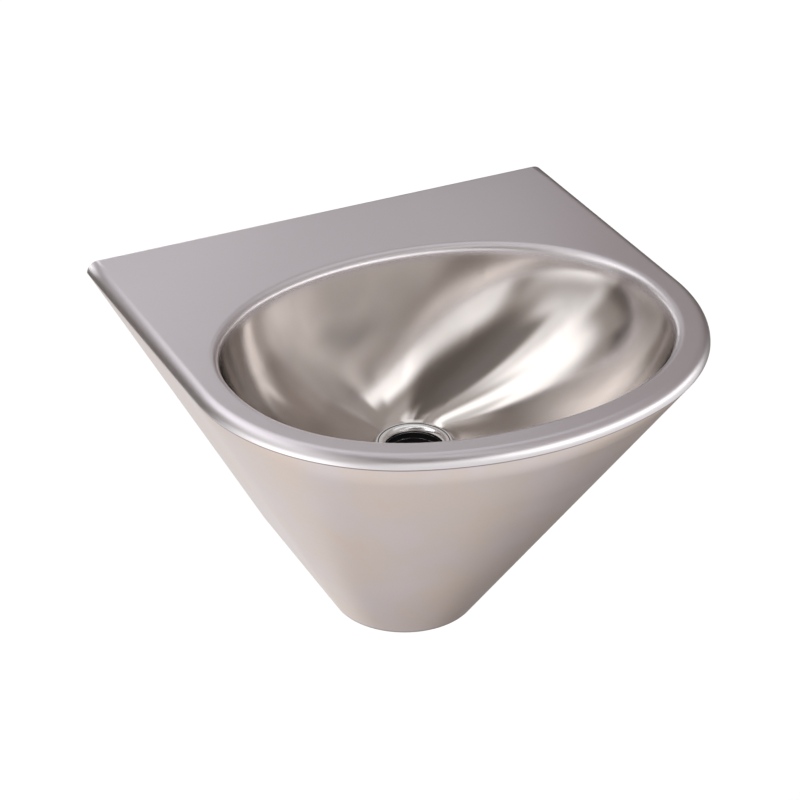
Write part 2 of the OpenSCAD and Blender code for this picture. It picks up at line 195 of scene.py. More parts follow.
class ViewSizes(bpy.types.PropertyGroup):
    """Place of the camera and the floor."""

    target: bpy.props.FloatVectorProperty(
        name="Target", description="Point that the camera looks at",
        default=(-0.01854, -0.180, -0.07445), size=3, unit="LENGTH", subtype="TRANSLATION"
    )
    azimuth: bpy.props.FloatProperty(
        name="Azimuth", description="Turn of the camera from the front",
        default=math.radians(-25.99), unit="ROTATION"
    )
    elevation: bpy.props.FloatProperty(
        name="Elevation", description="Height of the camera above level",
        default=math.radians(30.42), unit="ROTATION"
    )
    distance: length("Distance", "Distance from the target to the camera", 2.0936, high=20.0)
    lens: bpy.props.FloatProperty(
        name="Lens", description="Focal length on a sensor 36 mm wide", default=124.0, unit="CAMERA"
    )
    floor: length("Floor", "Height of the floor", -0.85, -3.0, 0.0)
    dome: length("Dome", "Distance from the basin to the soft boxes", 0.9, high=5.0)


class WasteSizes(bpy.types.PropertyGroup):
    """Sizes of the waste."""

    behind: length("Distance", "Distance from the wall to the centre of the waste", 0.167)
    flange: length("Flange radius", "Radius of the visible flange", WASTE_HIGH.x)
    mouth: length("Mouth radius", "Radius of the waste's mouth", 0.0222)
    bore: length("Bore radius", "Radius of the tail's bore", 0.0175)
    neck: length("Neck radius", "Radius of the neck in the bowl's hole", 0.0244)
    tail: length("Tail radius", "Radius of the tail over its thread", 0.020955)
    pitch: length("Pitch", "Pitch of the tail's thread", 0.002309)


class FinishColours(bpy.types.PropertyGroup):
    """Colours of the finishes."""

    satin: colour("Satin steel", "Colour of the satin deck", (0.575, 0.54, 0.575))
    # The rim colour is a painted highlight: the rolled rim and the lip are painted lighter with it.
    rim: colour("Painted rim highlight", "Colour painted on the rim and lip as a highlight", (0.64, 0.61, 0.625))
    bowl: colour("Bowl steel", "Colour of the polished bowl", (0.605, 0.568, 0.55))
    cover: colour("Cover steel", "Colour of the brushed cover", (0.615, 0.55, 0.55))
    mill: colour("Mill steel", "Colour of the bracket and fixings", (0.47, 0.48, 0.49))
    chrome: colour("Chrome", "Colour of the waste", (0.82, 0.82, 0.83))
    rubber: colour("Rubber", "Colour of the seals", (0.022, 0.022, 0.023))
    nylon: colour("Nylon", "Colour of the slip washer", (0.78, 0.78, 0.74))
    brass: colour("Brass", "Colour of the brass nuts", (0.66, 0.47, 0.20))


def sizes(name):
    """One group of sizes on the scene."""
    return getattr(bpy.context.scene, "hand_basin_" + name)


# Outline and bowl


def corner_arc(rim):
    """Radius of the corner arcs, and the normal's angle where they meet the front arc."""
    run = rim.depth - rim.side_straight
    half = rim.half_width
    front = rim.front_radius
    radius = (2 * run * front - half * half - run * run) / (2 * (front - half))
    return radius, math.acos((half - radius) / (front - radius))


def front_point(rim, angle, inset):
    """Point of the curved front whose normal has this angle from +X, moved in by inset."""
    radius, meet = corner_arc(rim)
    quarter = min(angle, HALF_TURN - angle)
    side = -1 if angle > QUARTER else 1
    if quarter < meet:
        centre, reach = Vector((rim.half_width - radius, -rim.side_straight)), radius - inset
    else:
        centre, reach = Vector((0.0, rim.front_radius - rim.depth)), rim.front_radius - inset
    away = Vector((math.cos(quarter), -math.sin(quarter)))
    point = centre + reach * away
    return Vector((side * point.x, point.y))


def deck_stations(rim, bowl):
    """Names the places round the deck, clockwise from the right-hand corner at the wall."""
    corner = math.atan(bowl.middle / rim.half_width)
    sides = [
        -rim.side_straight * (1 - math.tan(corner * (1 - i / SIDE_STEPS)) / math.tan(corner))
        for i in range(SIDE_STEPS)
    ]
    corner = math.atan(rim.half_width / bowl.middle)
    turns = [corner * (2 * i / BACK_STEPS - 1) for i in range(1, BACK_STEPS)]
    shares = [math.tan(turn) / math.tan(corner) for turn in turns]
    fold = rim.fold_half / rim.half_width
    clear = [share for share in shares if abs(abs(share) - fold) > FOLD_CLEAR]
    shares = sorted(clear + [-fold, fold])
    stations = [("side", 1, y) for y in sides]
    stations += [("front", 1, i * QUARTER / ARC_STEPS) for i in range(2 * ARC_STEPS + 1)]
    stations += [("side", -1, y) for y in reversed(sides)]
    return stations + [("back", share, 0.0) for share in shares]


def deck_ring(rim, stations, inset, z, back):
    """One ring round the deck. The points at the wall lie at y = back."""
    across = rim.half_width - inset
    ring = []
    for kind, side, value in stations:
        if kind == "side":
            ring.append(Vector((side * across, min(back, value), z)))
        elif kind == "front":
            ring.append(front_point(rim, value, inset).to_3d() + Vector((0, 0, z)))
        else:
            ring.append(Vector((side * across, back, z)))
    return ring


def mouth_point(bowl, ray, grow):
    """Point of the bowl's mouth in the direction ray from the middle of the bowl."""
    power = bowl.front_square if ray.y < 0 else bowl.back_square
    across = bowl.half_width + grow
    along = (bowl.front if ray.y < 0 else bowl.back) + grow
    reach = (abs(ray.x / across) ** power + abs(ray.y / along) ** power) ** (-1 / power)
    return Vector((ray.x * reach, ray.y * reach - bowl.middle))


def mouth_ring(bowl, rays, grow, z):
    """Ring round the bowl's mouth at one height."""
    return [mouth_point(bowl, ray, grow).to_3d() + Vector((0, 0, z)) for ray in rays]


def seat_ring(bowl, waste, rays, radius, z):
    """Ring round the pressed seat of the waste."""
    centre = Vector((0, -waste.behind))
    spokes = [(mouth_point(bowl, ray, 0) - centre).normalized() for ray in rays]
    return [(centre + radius * spoke).to_3d() + Vector((0, 0, z)) for spoke in spokes]


def mouth_normal(bowl, ray):
    """Outward normal of the bowl's mouth in the direction ray."""
    point = mouth_point(bowl, ray, 0) + Vector((0, bowl.middle))
    power = (bowl.front_square if ray.y < 0 else bowl.back_square) - 1
    reaches = (bowl.half_width, bowl.front if ray.y < 0 else bowl.back)
    parts = [math.copysign(abs(p / reach) ** power, p) / reach for p, reach in zip(point, reaches)]
    return Vector(parts).normalized()


def bowl_spoke(bowl, waste, ray):
    """One spoke of the bowl's wall: its foot, way out and curved rise, and the turn of its lip."""
    centre = Vector((0, -waste.behind))
    spoke = (mouth_point(bowl, ray, 0) - centre).normalized()
    foot = centre + (bowl.seat + bowl.seat_drop) * spoke
    steep = math.tan(bowl.wall_turn) * math.sin(bowl.wall_turn) / (1 - math.cos(bowl.wall_turn))
    turn = bowl.wall_turn
    # The wall's end and the lip's turn each depend on the other, and two rounds settle them
    for _ in range(2):
        way = mouth_point(bowl, ray, bowl.lip * (1 - math.sin(turn))) - foot
        rise = bowl.depth - bowl.seat_drop - bowl.floor_fall - bowl.lip * (1 - math.cos(turn))
        turn = math.atan((rise * steep + bowl.floor_fall) / way.dot(mouth_normal(bowl, ray)))
    return foot, way, rise, turn


def bowl_ring(bowl, spokes, share):
    """Ring on the bowl's wall, this share of the turn of the ellipse that it follows."""
    turn = share * bowl.wall_turn
    out = math.sin(turn) / math.sin(bowl.wall_turn)
    up = (1 - math.cos(turn)) / (1 - math.cos(bowl.wall_turn))
    low = bowl.seat_drop - bowl.depth + out * bowl.floor_fall
    return [(foot + out * way).to_3d() + Vector((0, 0, low + up * rise))
            for foot, way, rise, _ in spokes]


def lip_ring(bowl, rays, spokes, share):
    """Ring on the lip, this share of the turn from the flat deck down to the wall."""
    ring = []
    for ray, spoke in zip(rays, spokes):
        turn = share * spoke[-1]
        point = mouth_point(bowl, ray, bowl.lip * (1 - math.sin(turn)))
        ring.append(point.to_3d() + Vector((0, 0, bowl.lip * (math.cos(turn) - 1))))
    return ring


def cover_sections(rim, cover):
    """Upper and lower point of the cover's outer face at each normal, from right to left."""
    angles = [i * QUARTER / ARC_STEPS for i in range(2 * ARC_STEPS + 1)]
    pairs = []
    for angle in angles:
        top = front_point(rim, angle, cover.inset)
        side = -1 if angle > QUARTER else 1
        quarter = min(angle, HALF_TURN - angle)
        foot = Vector((side * cover.foot_radius * math.cos(quarter),
                       -cover.foot_straight - cover.foot_radius * math.sin(quarter)))
        pairs.append((top, foot))
    right, left = pairs[0], pairs[-1]
    starts = [tuple(Vector((p.x, p.y * share)) for p in right) for share in (0, 0.25, 0.5, 0.75)]
    ends = [tuple(Vector((p.x, p.y * share)) for p in left) for share in (0.75, 0.5, 0.25, 0)]
    return starts + pairs + ends


def cover_side(rim, cover, z):
    """Outer face of the cover's straight side at height z."""
    share = (cover.top - z) / (cover.top - cover.foot)
    return (rim.half_width - cover.inset) * (1 - share) + cover.foot_radius * share


# Modelling


def activate(piece, others=()):
    """Leaves edit mode with only these pieces selected and the first one active."""
    deselect()
    for item in (*others, piece):
        item.select_set(True)
    bpy.context.view_layer.objects.active = piece


def deselect():
    """Leaves edit mode with nothing selected."""
    if bpy.context.object and bpy.context.object.mode != "OBJECT":
        bpy.ops.object.mode_set(mode="OBJECT")
    bpy.ops.object.select_all(action="DESELECT")


def named(name):
    """Gives the new primitive its name and starts editing it."""
    piece = bpy.context.object
    piece.name = name
    piece.data.name = name
    bpy.ops.object.mode_set(mode="EDIT")
    bpy.ops.mesh.select_mode(type="VERT")
    return piece


def pick(piece, wanted, kind="verts"):
    """Selects the vertices, edges or faces for which wanted is true."""
    bpy.ops.mesh.select_all(action="DESELECT")
    mode = {"verts": "VERT", "edges": "EDGE", "faces": "FACE"}[kind]
    bpy.ops.mesh.select_mode(type=mode)
    mesh = bmesh.from_edit_mesh(piece.data)
    for item in getattr(mesh, kind):
        if wanted(item):
            item.select_set(True)
    mesh.select_flush_mode()
    bmesh.update_edit_mesh(piece.data)


def merge_doubles():
    """Merges the points that lie on one another."""
    bpy.ops.mesh.select_all(action="SELECT")
    bpy.ops.mesh.remove_doubles(threshold=TOUCH)


def turn_faces(piece, choose, outwards):
    """Turns all faces one way, so that the one that scores highest looks outwards."""
    bpy.ops.mesh.select_all(action="SELECT")
    bpy.ops.mesh.normals_make_consistent(inside=False)
    mesh = bmesh.from_edit_mesh(piece.data)
    if max(mesh.faces, key=choose).normal.dot(Vector(outwards)) < 0:
        bpy.ops.mesh.flip_normals()


def loft(name, rings, closed=True):
    """A skin: the first ring is a circle set to its points, and each next one is extruded."""
    deselect()
    bpy.ops.mesh.primitive_circle_add(vertices=len(rings[0]), radius=0.1)
    piece = named(name)
    mesh = bmesh.from_edit_mesh(piece.data)
    station = mesh.verts.layers.int.new("station")
    mesh.verts.ensure_lookup_table()
    for index, vert in enumerate(mesh.verts):
        vert[station] = index
        vert.co = rings[0][index]
    if not closed:
        first, last = mesh.verts[0], mesh.verts[len(rings[0]) - 1]
        mesh.edges.remove(mesh.edges.get((first, last)))
    bmesh.update_edit_mesh(piece.data)
    bpy.ops.mesh.select_mode(type="EDGE")
    bpy.ops.mesh.select_all(action="SELECT")
    for ring in rings[1:]:
        bpy.ops.mesh.extrude_edges_move()
        mesh = bmesh.from_edit_mesh(piece.data)
        station = mesh.verts.layers.int["station"]
        for vert in mesh.verts:
            if vert.select:
                vert.co = ring[vert[station]]
        bmesh.update_edit_mesh(piece.data)
    return piece


def chain(name, points):
    """Edges from point to point, drawn by extruding a single vertex."""
    deselect()
    bpy.ops.mesh.primitive_plane_add(size=0.01)
    piece = named(name)
    bpy.ops.mesh.merge(type="CENTER")
    bpy.ops.transform.translate(value=points[0])
    for start, end in zip(points, points[1:]):
        step = Vector(end) - Vector(start)
        bpy.ops.mesh.extrude_region_move(TRANSFORM_OT_translate={"value": step})
    return piece


def turned(name, profile, centre=(0, 0), steps=TURN_STEPS):
    """A turned piece: a closed profile of (radius, height) points spun round an upright axis."""
    points = [(centre[0] + r, centre[1], z) for r, z in profile]
    piece = chain(name, points + points[:1])
    merge_doubles()
    bpy.ops.mesh.spin(steps=steps, angle=2 * HALF_TURN, center=(*centre, 0), axis=(0, 0, 1))
    merge_doubles()
    bpy.ops.mesh.normals_make_consistent(inside=False)
    deselect()
    return piece


def apply(piece, kind, **settings):
    """Adds a modifier to the piece and applies it."""
    activate(piece)
    modifier = piece.modifiers.new(kind.title(), kind)
    for key, value in settings.items():
        setattr(modifier, key, value)
    bpy.ops.object.modifier_apply(modifier=modifier.name)


def soften(piece, width=EDGE_BREAK, segments=2, angle=50):
    """Rounds the edges that are sharper than the angle."""
    apply(piece, "BEVEL", width=width, segments=segments, limit_method="ANGLE",
          angle_limit=math.radians(angle))


def cut(piece, cutter, operation="DIFFERENCE"):
    """Cuts the piece with another one, which is used up."""
    apply(piece, "BOOLEAN", object=cutter, operation=operation, solver="EXACT")
    bpy.data.objects.remove(cutter)


def sheet_metal(piece, thickness, bend=0.0):
    """Turns a skin into sheet: bends get a radius, the wall its thickness, cut edges a break."""
    if bend:
        soften(piece, bend, segments=4)
    apply(piece, "SOLIDIFY", thickness=thickness, offset=-1, use_even_offset=True,
          use_quality_normals=True)
    soften(piece, 0.25 * MM)


def bent_strip(name, half, path, bends, thickness, corner):
    """A strip drawn as a path of (y, z) points, widened along X, bent at its inner points."""
    piece = chain(name, [(-half, y, z) for y, z in path])
    bpy.ops.mesh.select_all(action="SELECT")
    bpy.ops.mesh.extrude_edges_move(TRANSFORM_OT_translate={"value": (2 * half, 0, 0)})
    for (y, z), radius in zip(path[1:-1], bends):
        pick(piece, lambda edge: all(abs(v.co.y - y) < TOUCH and abs(v.co.z - z) < TOUCH
                                     for v in edge.verts), "edges")
        bpy.ops.mesh.bevel(offset=radius, offset_type="OFFSET", segments=6)
    start, end = Vector((0, *path[0])), Vector((0, *path[1]))
    turn_faces(piece, lambda face: -(face.calc_center_median() - (start + end) / 2).length,
               (end - start).cross(Vector((1, 0, 0))))
    tips = [start, Vector((0, *path[-1]))]
    pick(piece, lambda v: any((Vector((0, v.co.y, v.co.z)) - tip).length < TOUCH for tip in tips))
    bpy.ops.mesh.bevel(offset=corner, segments=5, affect="VERTICES")
    apply(piece, "SOLIDIFY", thickness=thickness, offset=-1, use_even_offset=True)
    soften(piece)
    return piece


def wound_thread(name, root, crest, pitch, low, high, steps):
    """A screw thread: one tooth wound up the axis by the screw modifier."""
    turns = int((high - low) / pitch - 0.95)
    sunk = root - 0.02 * MM
    piece = chain(name, [(sunk, 0, low), (crest, 0, low + 0.42 * pitch),
                         (crest, 0, low + 0.52 * pitch), (sunk, 0, low + 0.94 * pitch)])
    apply(piece, "SCREW", angle=2 * HALF_TURN, screw_offset=pitch, iterations=turns, steps=steps,
          render_steps=steps, axis="Z", use_merge_vertices=False, use_normal_calculate=True)
    return piece


def drill(piece, places, radius, axis="Z"):
    """Cuts round holes through the piece, with a cutter at each place."""
    turn = (QUARTER, 0, 0) if axis == "Y" else (0, 0, 0)
    for place in places:
        deselect()
        bpy.ops.mesh.primitive_cylinder_add(
            vertices=48, radius=radius, depth=20 * MM, location=place, rotation=turn
        )
        cut(piece, bpy.context.object)


def join(piece, others):
    """Joins other meshes into the piece."""
    activate(piece, others)
    bpy.ops.object.join()
    return piece


def place(piece, matrix):
    """Moves a piece's mesh and leaves its object at the origin."""
    piece.data.transform(matrix)
    piece.data.update()
    return piece


def copy_of(piece, matrix):
    """A copy with its own mesh, moved by the matrix."""
    twin = piece.copy()
    twin.data = piece.data.copy()
    bpy.context.collection.objects.link(twin)
    return place(twin, matrix)


def dress(piece, material, node):
    """Smooths a finished piece, gives it its finish and lets it stand for its node on the frame."""
    activate(piece)
    bpy.ops.object.shade_smooth_by_angle(angle=SMOOTH_ANGLE)
    deselect()
    piece.data.materials.clear()
    piece.data.materials.append(material)
    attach(piece, "root")
    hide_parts(node)


def stud_places():
    """Places of the studs: a matrix for each that turns +X to the rim's outward normal there."""
    rim, fixing = sizes("rim"), sizes("fixing")
    spots = []
    for side in (1, -1):
        angles = [(rim.half_width, -fixing.rear, 0.0)]
        for degrees in STUD_ANGLES:
            point = front_point(rim, math.radians(degrees), 0)
            angles.append((point.x, point.y, -math.radians(degrees)))
        for x, y, turn in angles:
            heading = turn if side > 0 else HALF_TURN - turn
            spot = Matrix.Translation((side * x, y, 0)) @ Matrix.Rotation(heading, 4, "Z")
            spots.append(spot @ Matrix.Translation((-fixing.inset, 0, 0)))
    return spots


# Materials


class Tree:
    """Builds a node tree, node after node. A node's inputs are values, or sockets to link."""

    def __init__(self, tree):
        self.tree = tree
        self.column = 0

    def add(self, kind, inputs=None, **settings):
        """One node, with its settings and its inputs."""
        node = self.tree.nodes.new(kind)
        node.location = (self.column * 180, 0)
        self.column += 1
        for key, value in settings.items():
            setattr(node, key, value)
        for key, value in (inputs or {}).items():
            if isinstance(value, bpy.types.NodeSocket):
                self.tree.links.new(value, node.inputs[key])
            else:
                node.inputs[key].default_value = value
        return node

    def here(self):
        """Where on the object a point of the surface is."""
        return self.add("ShaderNodeTexCoord").outputs["Object"]

    def axes(self, vector):
        """The three parts of a vector."""
        return self.add("ShaderNodeSeparateXYZ", {0: vector}).outputs

    def maths(self, operation, *values):
        """A sum on numbers."""
        node = self.add("ShaderNodeMath", dict(enumerate(values)), operation=operation)
        return node.outputs[0]

    def vector(self, operation, *values):
        """A sum on vectors."""
        node = self.add("ShaderNodeVectorMath", dict(enumerate(values)), operation=operation)
        return node.outputs["Value" if operation == "LENGTH" else "Vector"]

    def noise(self, where, scale, detail, output="Fac", **more):
        """A noise texture."""
        keys = {"Vector": where, "Scale": scale, "Detail": detail, **more}
        return self.add("ShaderNodeTexNoise", keys).outputs[output]

    def blend(self, share, first, second):
        """Mixes two colours."""
        node = self.add("ShaderNodeMix", {0: share, 6: first, 7: second}, data_type="RGBA")
        return node.outputs[2]

    def mix(self, share, first, second):
        """Mixes two numbers."""
        node = self.add("ShaderNodeMix", {0: share, 2: first, 3: second}, data_type="FLOAT")
        return node.outputs[0]

    def spread(self, value, low, high, new_low, new_high, curve="LINEAR"):
        """Maps a value from one range to another, clamped."""
        keys = {"Value": value, "From Min": low, "From Max": high,
                "To Min": new_low, "To Max": new_high}
        node = self.add("ShaderNodeMapRange", keys, interpolation_type=curve)
        return node.outputs["Result"]

    def group(self, group, **inputs):
        """A node group in use, with its own values."""
        return self.add("ShaderNodeGroup", inputs, node_tree=group).outputs


def kept(collection, name):
    """Lets a maker build its material or node group once, and finds it by name after that."""
    def wrap(maker):
        def find():
            return getattr(bpy.data, collection).get(name) or maker(name)
        return find
    return wrap


def group_of(name, inputs, outputs):
    """An empty node group with its sockets: what builds it, and its inputs."""
    tree = bpy.data.node_groups.new(name, "ShaderNodeTree")
    for label, default in inputs.items():
        kind = "NodeSocketFloat" if isinstance(default, float) else "NodeSocketVector"
        socket = tree.interface.new_socket(label, in_out="INPUT", socket_type=kind)
        socket.default_value = default
    for label in outputs:
        tree.interface.new_socket(label, in_out="OUTPUT", socket_type="NodeSocketFloat")
    build = Tree(tree)
    return build, build.add("NodeGroupInput").outputs


@kept("node_groups", "Brushed grain")
def brushed_grain(name):
    """Group: the fine lines that a belt leaves in sheet metal, with broken, uneven strokes."""
    build, given = group_of(name, {"Stretch": (20, 20, 900), "Contrast": 1.0}, ("Shade", "Height"))
    where = build.here()
    stretched = build.vector("MULTIPLY", where, given["Stretch"])
    fine = build.noise(stretched, 2.6, 3.0, Roughness=0.65)
    broad = build.noise(stretched, 0.55, 2.0)
    patch = build.noise(where, 28.0, 2.0)
    lines = build.maths("MULTIPLY_ADD", broad, 0.35, build.maths("MULTIPLY", fine, 0.65))
    uneven = build.spread(patch, 0.3, 0.7, 0.55, 1.15)
    shade = build.maths("MULTIPLY", build.maths("SUBTRACT", lines, 0.5), uneven)
    shade = build.maths("MULTIPLY_ADD", shade, given["Contrast"], 0.5)
    build.add("NodeGroupOutput", {"Shade": shade, "Height": fine})
    return build.tree


@kept("node_groups", "Satin clouds")
def satin_clouds(name):
    """Group: the soft, smoky change of tone that polishing and handling leave in the metal."""
    build, given = group_of(name, {"Scale": 9.0, "Stretch": (1, 1, 1)}, ("Cloud", "Mottle"))
    moved = build.vector("MULTIPLY", build.here(), given["Stretch"])
    cloud = build.noise(moved, given["Scale"], 2.5, Roughness=0.5, Distortion=0.4)
    mottle = build.noise(moved, build.maths("MULTIPLY", given["Scale"], 5.0), 3.0, Roughness=0.6)
    build.add("NodeGroupOutput", {"Cloud": build.spread(cloud, 0.32, 0.68, 0.0, 1.0),
                                  "Mottle": build.spread(mottle, 0.3, 0.7, 0.0, 1.0)})
    return build.tree


@kept("node_groups", "Soft smudge")
def soft_patch(name):
    """Group: 1 inside a ragged, soft-edged patch round a point of the object, 0 outside it."""
    build, given = group_of(name, {"Centre": (0, 0, 0), "Reach": (0.02, 0.02, 0.02)}, ("Mask",))
    where = build.here()
    ragged = build.vector("SUBTRACT", build.noise(where, 22.0, 1.0, "Color"), (0.5, 0.5, 0.5))
    ragged = build.vector("MULTIPLY", ragged, (0.04, 0.04, 0.04))
    moved = build.vector("ADD", build.vector("SUBTRACT", where, given["Centre"]), ragged)
    away = build.vector("LENGTH", build.vector("DIVIDE", moved, given["Reach"]))
    build.add("NodeGroupOutput", {"Mask": build.spread(away, 0.1, 1.2, 1.0, 0.0, "SMOOTHSTEP")})
    return build.tree


def material_of(name):
    """A new material, what builds its nodes, and its shader."""
    material = bpy.data.materials.new(name)
    material.use_nodes = True
    return material, Tree(material.node_tree), material.node_tree.nodes["Principled BSDF"]


def tinted(value, *factors):
    """A colour made lighter or darker by one factor, or by one for each channel."""
    if len(factors) == 1:
        factors *= 3
    return tuple(min(1.0, channel * f) for channel, f in zip(value, factors)) + (1.0,)


def surface(build, shader, base, rough, height, strength, depth=0.1 * MM, metallic=1.0):
    """Wires a colour, a roughness and a bump to the shader, and sets how metallic it is."""
    bump = build.add("ShaderNodeBump", {"Height": height, "Strength": strength, "Distance": depth})
    for label, value in (("Base Color", base), ("Roughness", rough), ("Normal", bump.outputs[0])):
        build.tree.links.new(value, shader.inputs[label])
    shader.inputs["Metallic"].default_value = metallic


# Patches in the bowl: centre, reach and shade. The first is a darker patch; the second and
# third are painted sheen, lighter spots on the bowl's left wall.
DARK_PATCH_AND_SHEENS = (
    ((-0.020, -0.100, -0.061), (0.040, 0.050, 0.020), 0.66),
    ((-0.104, -0.118, -0.026), (0.036, 0.050, 0.026), 1.35),
    ((-0.082, -0.136, -0.081), (0.030, 0.040, 0.022), 1.25),
)


@kept("materials", "Basin steel")
def basin_steel(name):
    """Satin deck, a highlight painted lighter on the rim and lip, and a smooth, smoky polish in the
    bowl.
    """
    finish = sizes("colours")
    material, build, shader = material_of(name)
    grain = build.group(brushed_grain(), Stretch=(26, 520, 520))
    clouds = build.group(satin_clouds(), Scale=7.0)
    smoke = build.group(satin_clouds(), Scale=17.0, Stretch=(1.0, 1.4, 0.8))
    # The second attribute below marks a painted highlight on the rolled rim and the lip.
    polish = build.add("ShaderNodeAttribute", attribute_name="polish").outputs["Fac"]
    burnish = build.add("ShaderNodeAttribute", attribute_name="burnish").outputs["Fac"]
    dull = tinted(finish.satin, 0.95)
    deck = build.blend(grain["Shade"], dull, tinted(finish.satin, 1.05))
    deck = build.blend(build.maths("MULTIPLY", clouds["Cloud"], 0.35), deck, dull)
    bowl = build.blend(smoke["Cloud"], tinted(finish.bowl, 0.9), tinted(finish.bowl, 1.08))
    warm = tinted(finish.bowl, 1.0, 0.97, 0.93)
    bowl = build.blend(build.maths("MULTIPLY", smoke["Mottle"], 0.35), bowl, warm)
    # The first patch darkens the bowl; the second and third lighten it as painted sheen.
    for centre, reach, shade in DARK_PATCH_AND_SHEENS:
        patch = build.group(soft_patch(), Centre=centre, Reach=reach)
        bowl = build.blend(patch["Mask"], bowl, tinted(finish.bowl, shade))
    # Painted highlight: the rolled rim and the lip blend to the lighter rim colour.
    base = build.blend(burnish, build.blend(polish, deck, bowl), tinted(finish.rim, 1.0))
    satin = build.spread(grain["Shade"], 0.3, 0.7, 0.33, 0.40)
    glossy = build.spread(smoke["Cloud"], 0.0, 1.0, 0.16, 0.11)
    strength = build.spread(polish, 0.0, 0.2, 0.10, 0.0)
    surface(build, shader, base, build.mix(polish, satin, glossy), grain["Height"], strength)
    return material


@kept("materials", "Cover steel")
def cover_steel(name):
    """Brushed sheet with a fine level grain, faint upright streaks, and painted shade under the rim
    and along the foot.
    """
    finish, cover = sizes("colours"), sizes("cover")
    material, build, shader = material_of(name)
    grain = build.group(brushed_grain(), Stretch=(14, 14, 620))
    streaks = build.group(satin_clouds(), Scale=9.0, Stretch=(2.2, 2.2, 0.35))["Cloud"]
    base = build.blend(grain["Shade"], tinted(finish.cover, 0.93), tinted(finish.cover, 1.07))
    warm = tinted(finish.cover, 1.02, 0.96, 0.85)
    base = build.blend(build.maths("MULTIPLY", streaks, 0.8), base, warm)
    height = build.axes(build.here())["Z"]
    tinted_band = build.spread(height, cover.top - 24 * MM, cover.top - 6 * MM, 0.0, 0.7)
    base = build.blend(build.maths("MULTIPLY", tinted_band, streaks), base, warm)
    # Painted shade: a thin dark band on the cover just under the overhanging rim.
    joint_shade = build.spread(height, cover.top - 1.6 * MM, cover.top - 0.6 * MM, 0.0, 0.6)
    base = build.blend(joint_shade, base, tinted(finish.cover, 0.12))
    # Painted shade: the cover darkens along the edge of its foot.
    foot = build.spread(height, cover.foot + 0.8 * MM, cover.foot + 3.4 * MM, 0.85, 0.0)
    base = build.blend(foot, base, tinted(finish.cover, 0.4))
    rough = build.spread(grain["Shade"], 0.3, 0.7, 0.34, 0.44)
    surface(build, shader, base, rough, grain["Height"], 0.12)
    return material


@kept("materials", "Mill steel")
def mill_steel(name):
    """Plain sheet and bar, as it comes from the mill."""
    finish = sizes("colours")
    material, build, shader = material_of(name)
    clouds = build.group(satin_clouds(), Scale=22.0)
    grain = build.group(brushed_grain(), Stretch=(30, 400, 400), Contrast=0.8)
    base = build.blend(clouds["Cloud"], tinted(finish.mill, 0.9), tinted(finish.mill, 1.08))
    worn = build.maths("MULTIPLY", grain["Shade"], 0.4)
    base = build.blend(worn, base, tinted(finish.mill, 0.85))
    rough = build.spread(clouds["Mottle"], 0.0, 1.0, 0.36, 0.50)
    surface(build, shader, base, rough, grain["Height"], 0.12)
    return material


@kept("materials", "Waste chrome")
def waste_chrome(name):
    """Chrome plate with faint wear, painted shade in the flange's groove and a near-black painted
    shade down the bore.
    """
    finish, waste = sizes("colours"), sizes("waste")
    material, build, shader = material_of(name)
    clouds = build.group(satin_clouds(), Scale=60.0)
    spoke = build.vector("ADD", build.here(), (0, waste.behind, 0))
    height = build.axes(spoke)["Z"]
    radius = build.vector("LENGTH", build.vector("MULTIPLY", spoke, (1, 1, 0)))
    # Painted shade: the way down inside the mouth and the bore is painted near black.
    inner = build.spread(height, NECK_FOOT - 0.2 * MM, NECK_FOOT,
                         waste.tail - 1.5 * MM, waste.mouth - 0.1 * MM)
    bore_shade = build.maths("MULTIPLY", build.maths("LESS_THAN", radius, inner),
                       build.maths("GREATER_THAN", radius, waste.bore - 0.2 * MM))
    below = build.spread(height, MOUTH_LOW - 0.5 * MM, MOUTH_LOW - 0.1 * MM, 1.0, 0.0)
    bore_shade = build.maths("MULTIPLY", bore_shade, below)
    base = build.blend(clouds["Cloud"], tinted(finish.chrome, 0.94), tinted(finish.chrome, 1.02))
    base = build.blend(bore_shade, base, (0.018, 0.017, 0.017, 1))
    # Painted shade: the groove round the flange is painted dark.
    middle = waste.flange - GROOVE_INSET - GROOVE_WIDTH / 2
    beside = build.maths("ABSOLUTE", build.maths("SUBTRACT", radius, middle))
    groove = build.spread(beside, 0.3 * MM, 0.5 * MM, 0.9, 0.0)
    above = build.maths("GREATER_THAN", height, WASTE_HIGH.z - 1.0 * MM)
    base = build.blend(build.maths("MULTIPLY", groove, above), base, (0.05, 0.05, 0.052, 1))
    rough = build.mix(bore_shade, build.spread(clouds["Mottle"], 0.0, 1.0, 0.10, 0.20), 0.75)
    surface(build, shader, base, rough, clouds["Mottle"], 0.06, 0.2 * MM)
    return material


def moulded(name, value, low, high, scale, metallic=0.0):
    """A moulded or cast material: uneven tone and sheen, and a fine surface."""
    material, build, shader = material_of(name)
    clouds = build.group(satin_clouds(), Scale=scale)
    base = build.blend(clouds["Cloud"], tinted(value, 0.85), tinted(value, 1.1))
    rough = build.spread(clouds["Mottle"], 0.0, 1.0, low, high)
    surface(build, shader, base, rough, clouds["Mottle"], 0.2, 0.2 * MM, metallic)
    return material


@kept("materials", "Black rubber")
def rubber(name):
    """Black moulded rubber."""
    return moulded(name, sizes("colours").rubber, 0.55, 0.75, 80.0)


@kept("materials", "White nylon")
def nylon(name):
    """White moulded nylon."""
    return moulded(name, sizes("colours").nylon, 0.38, 0.52, 60.0)


@kept("materials", "Brass")
def brass(name):
    """Turned brass, a little dulled."""
    return moulded(name, sizes("colours").brass, 0.24, 0.40, 70.0, metallic=1.0)


# Pieces


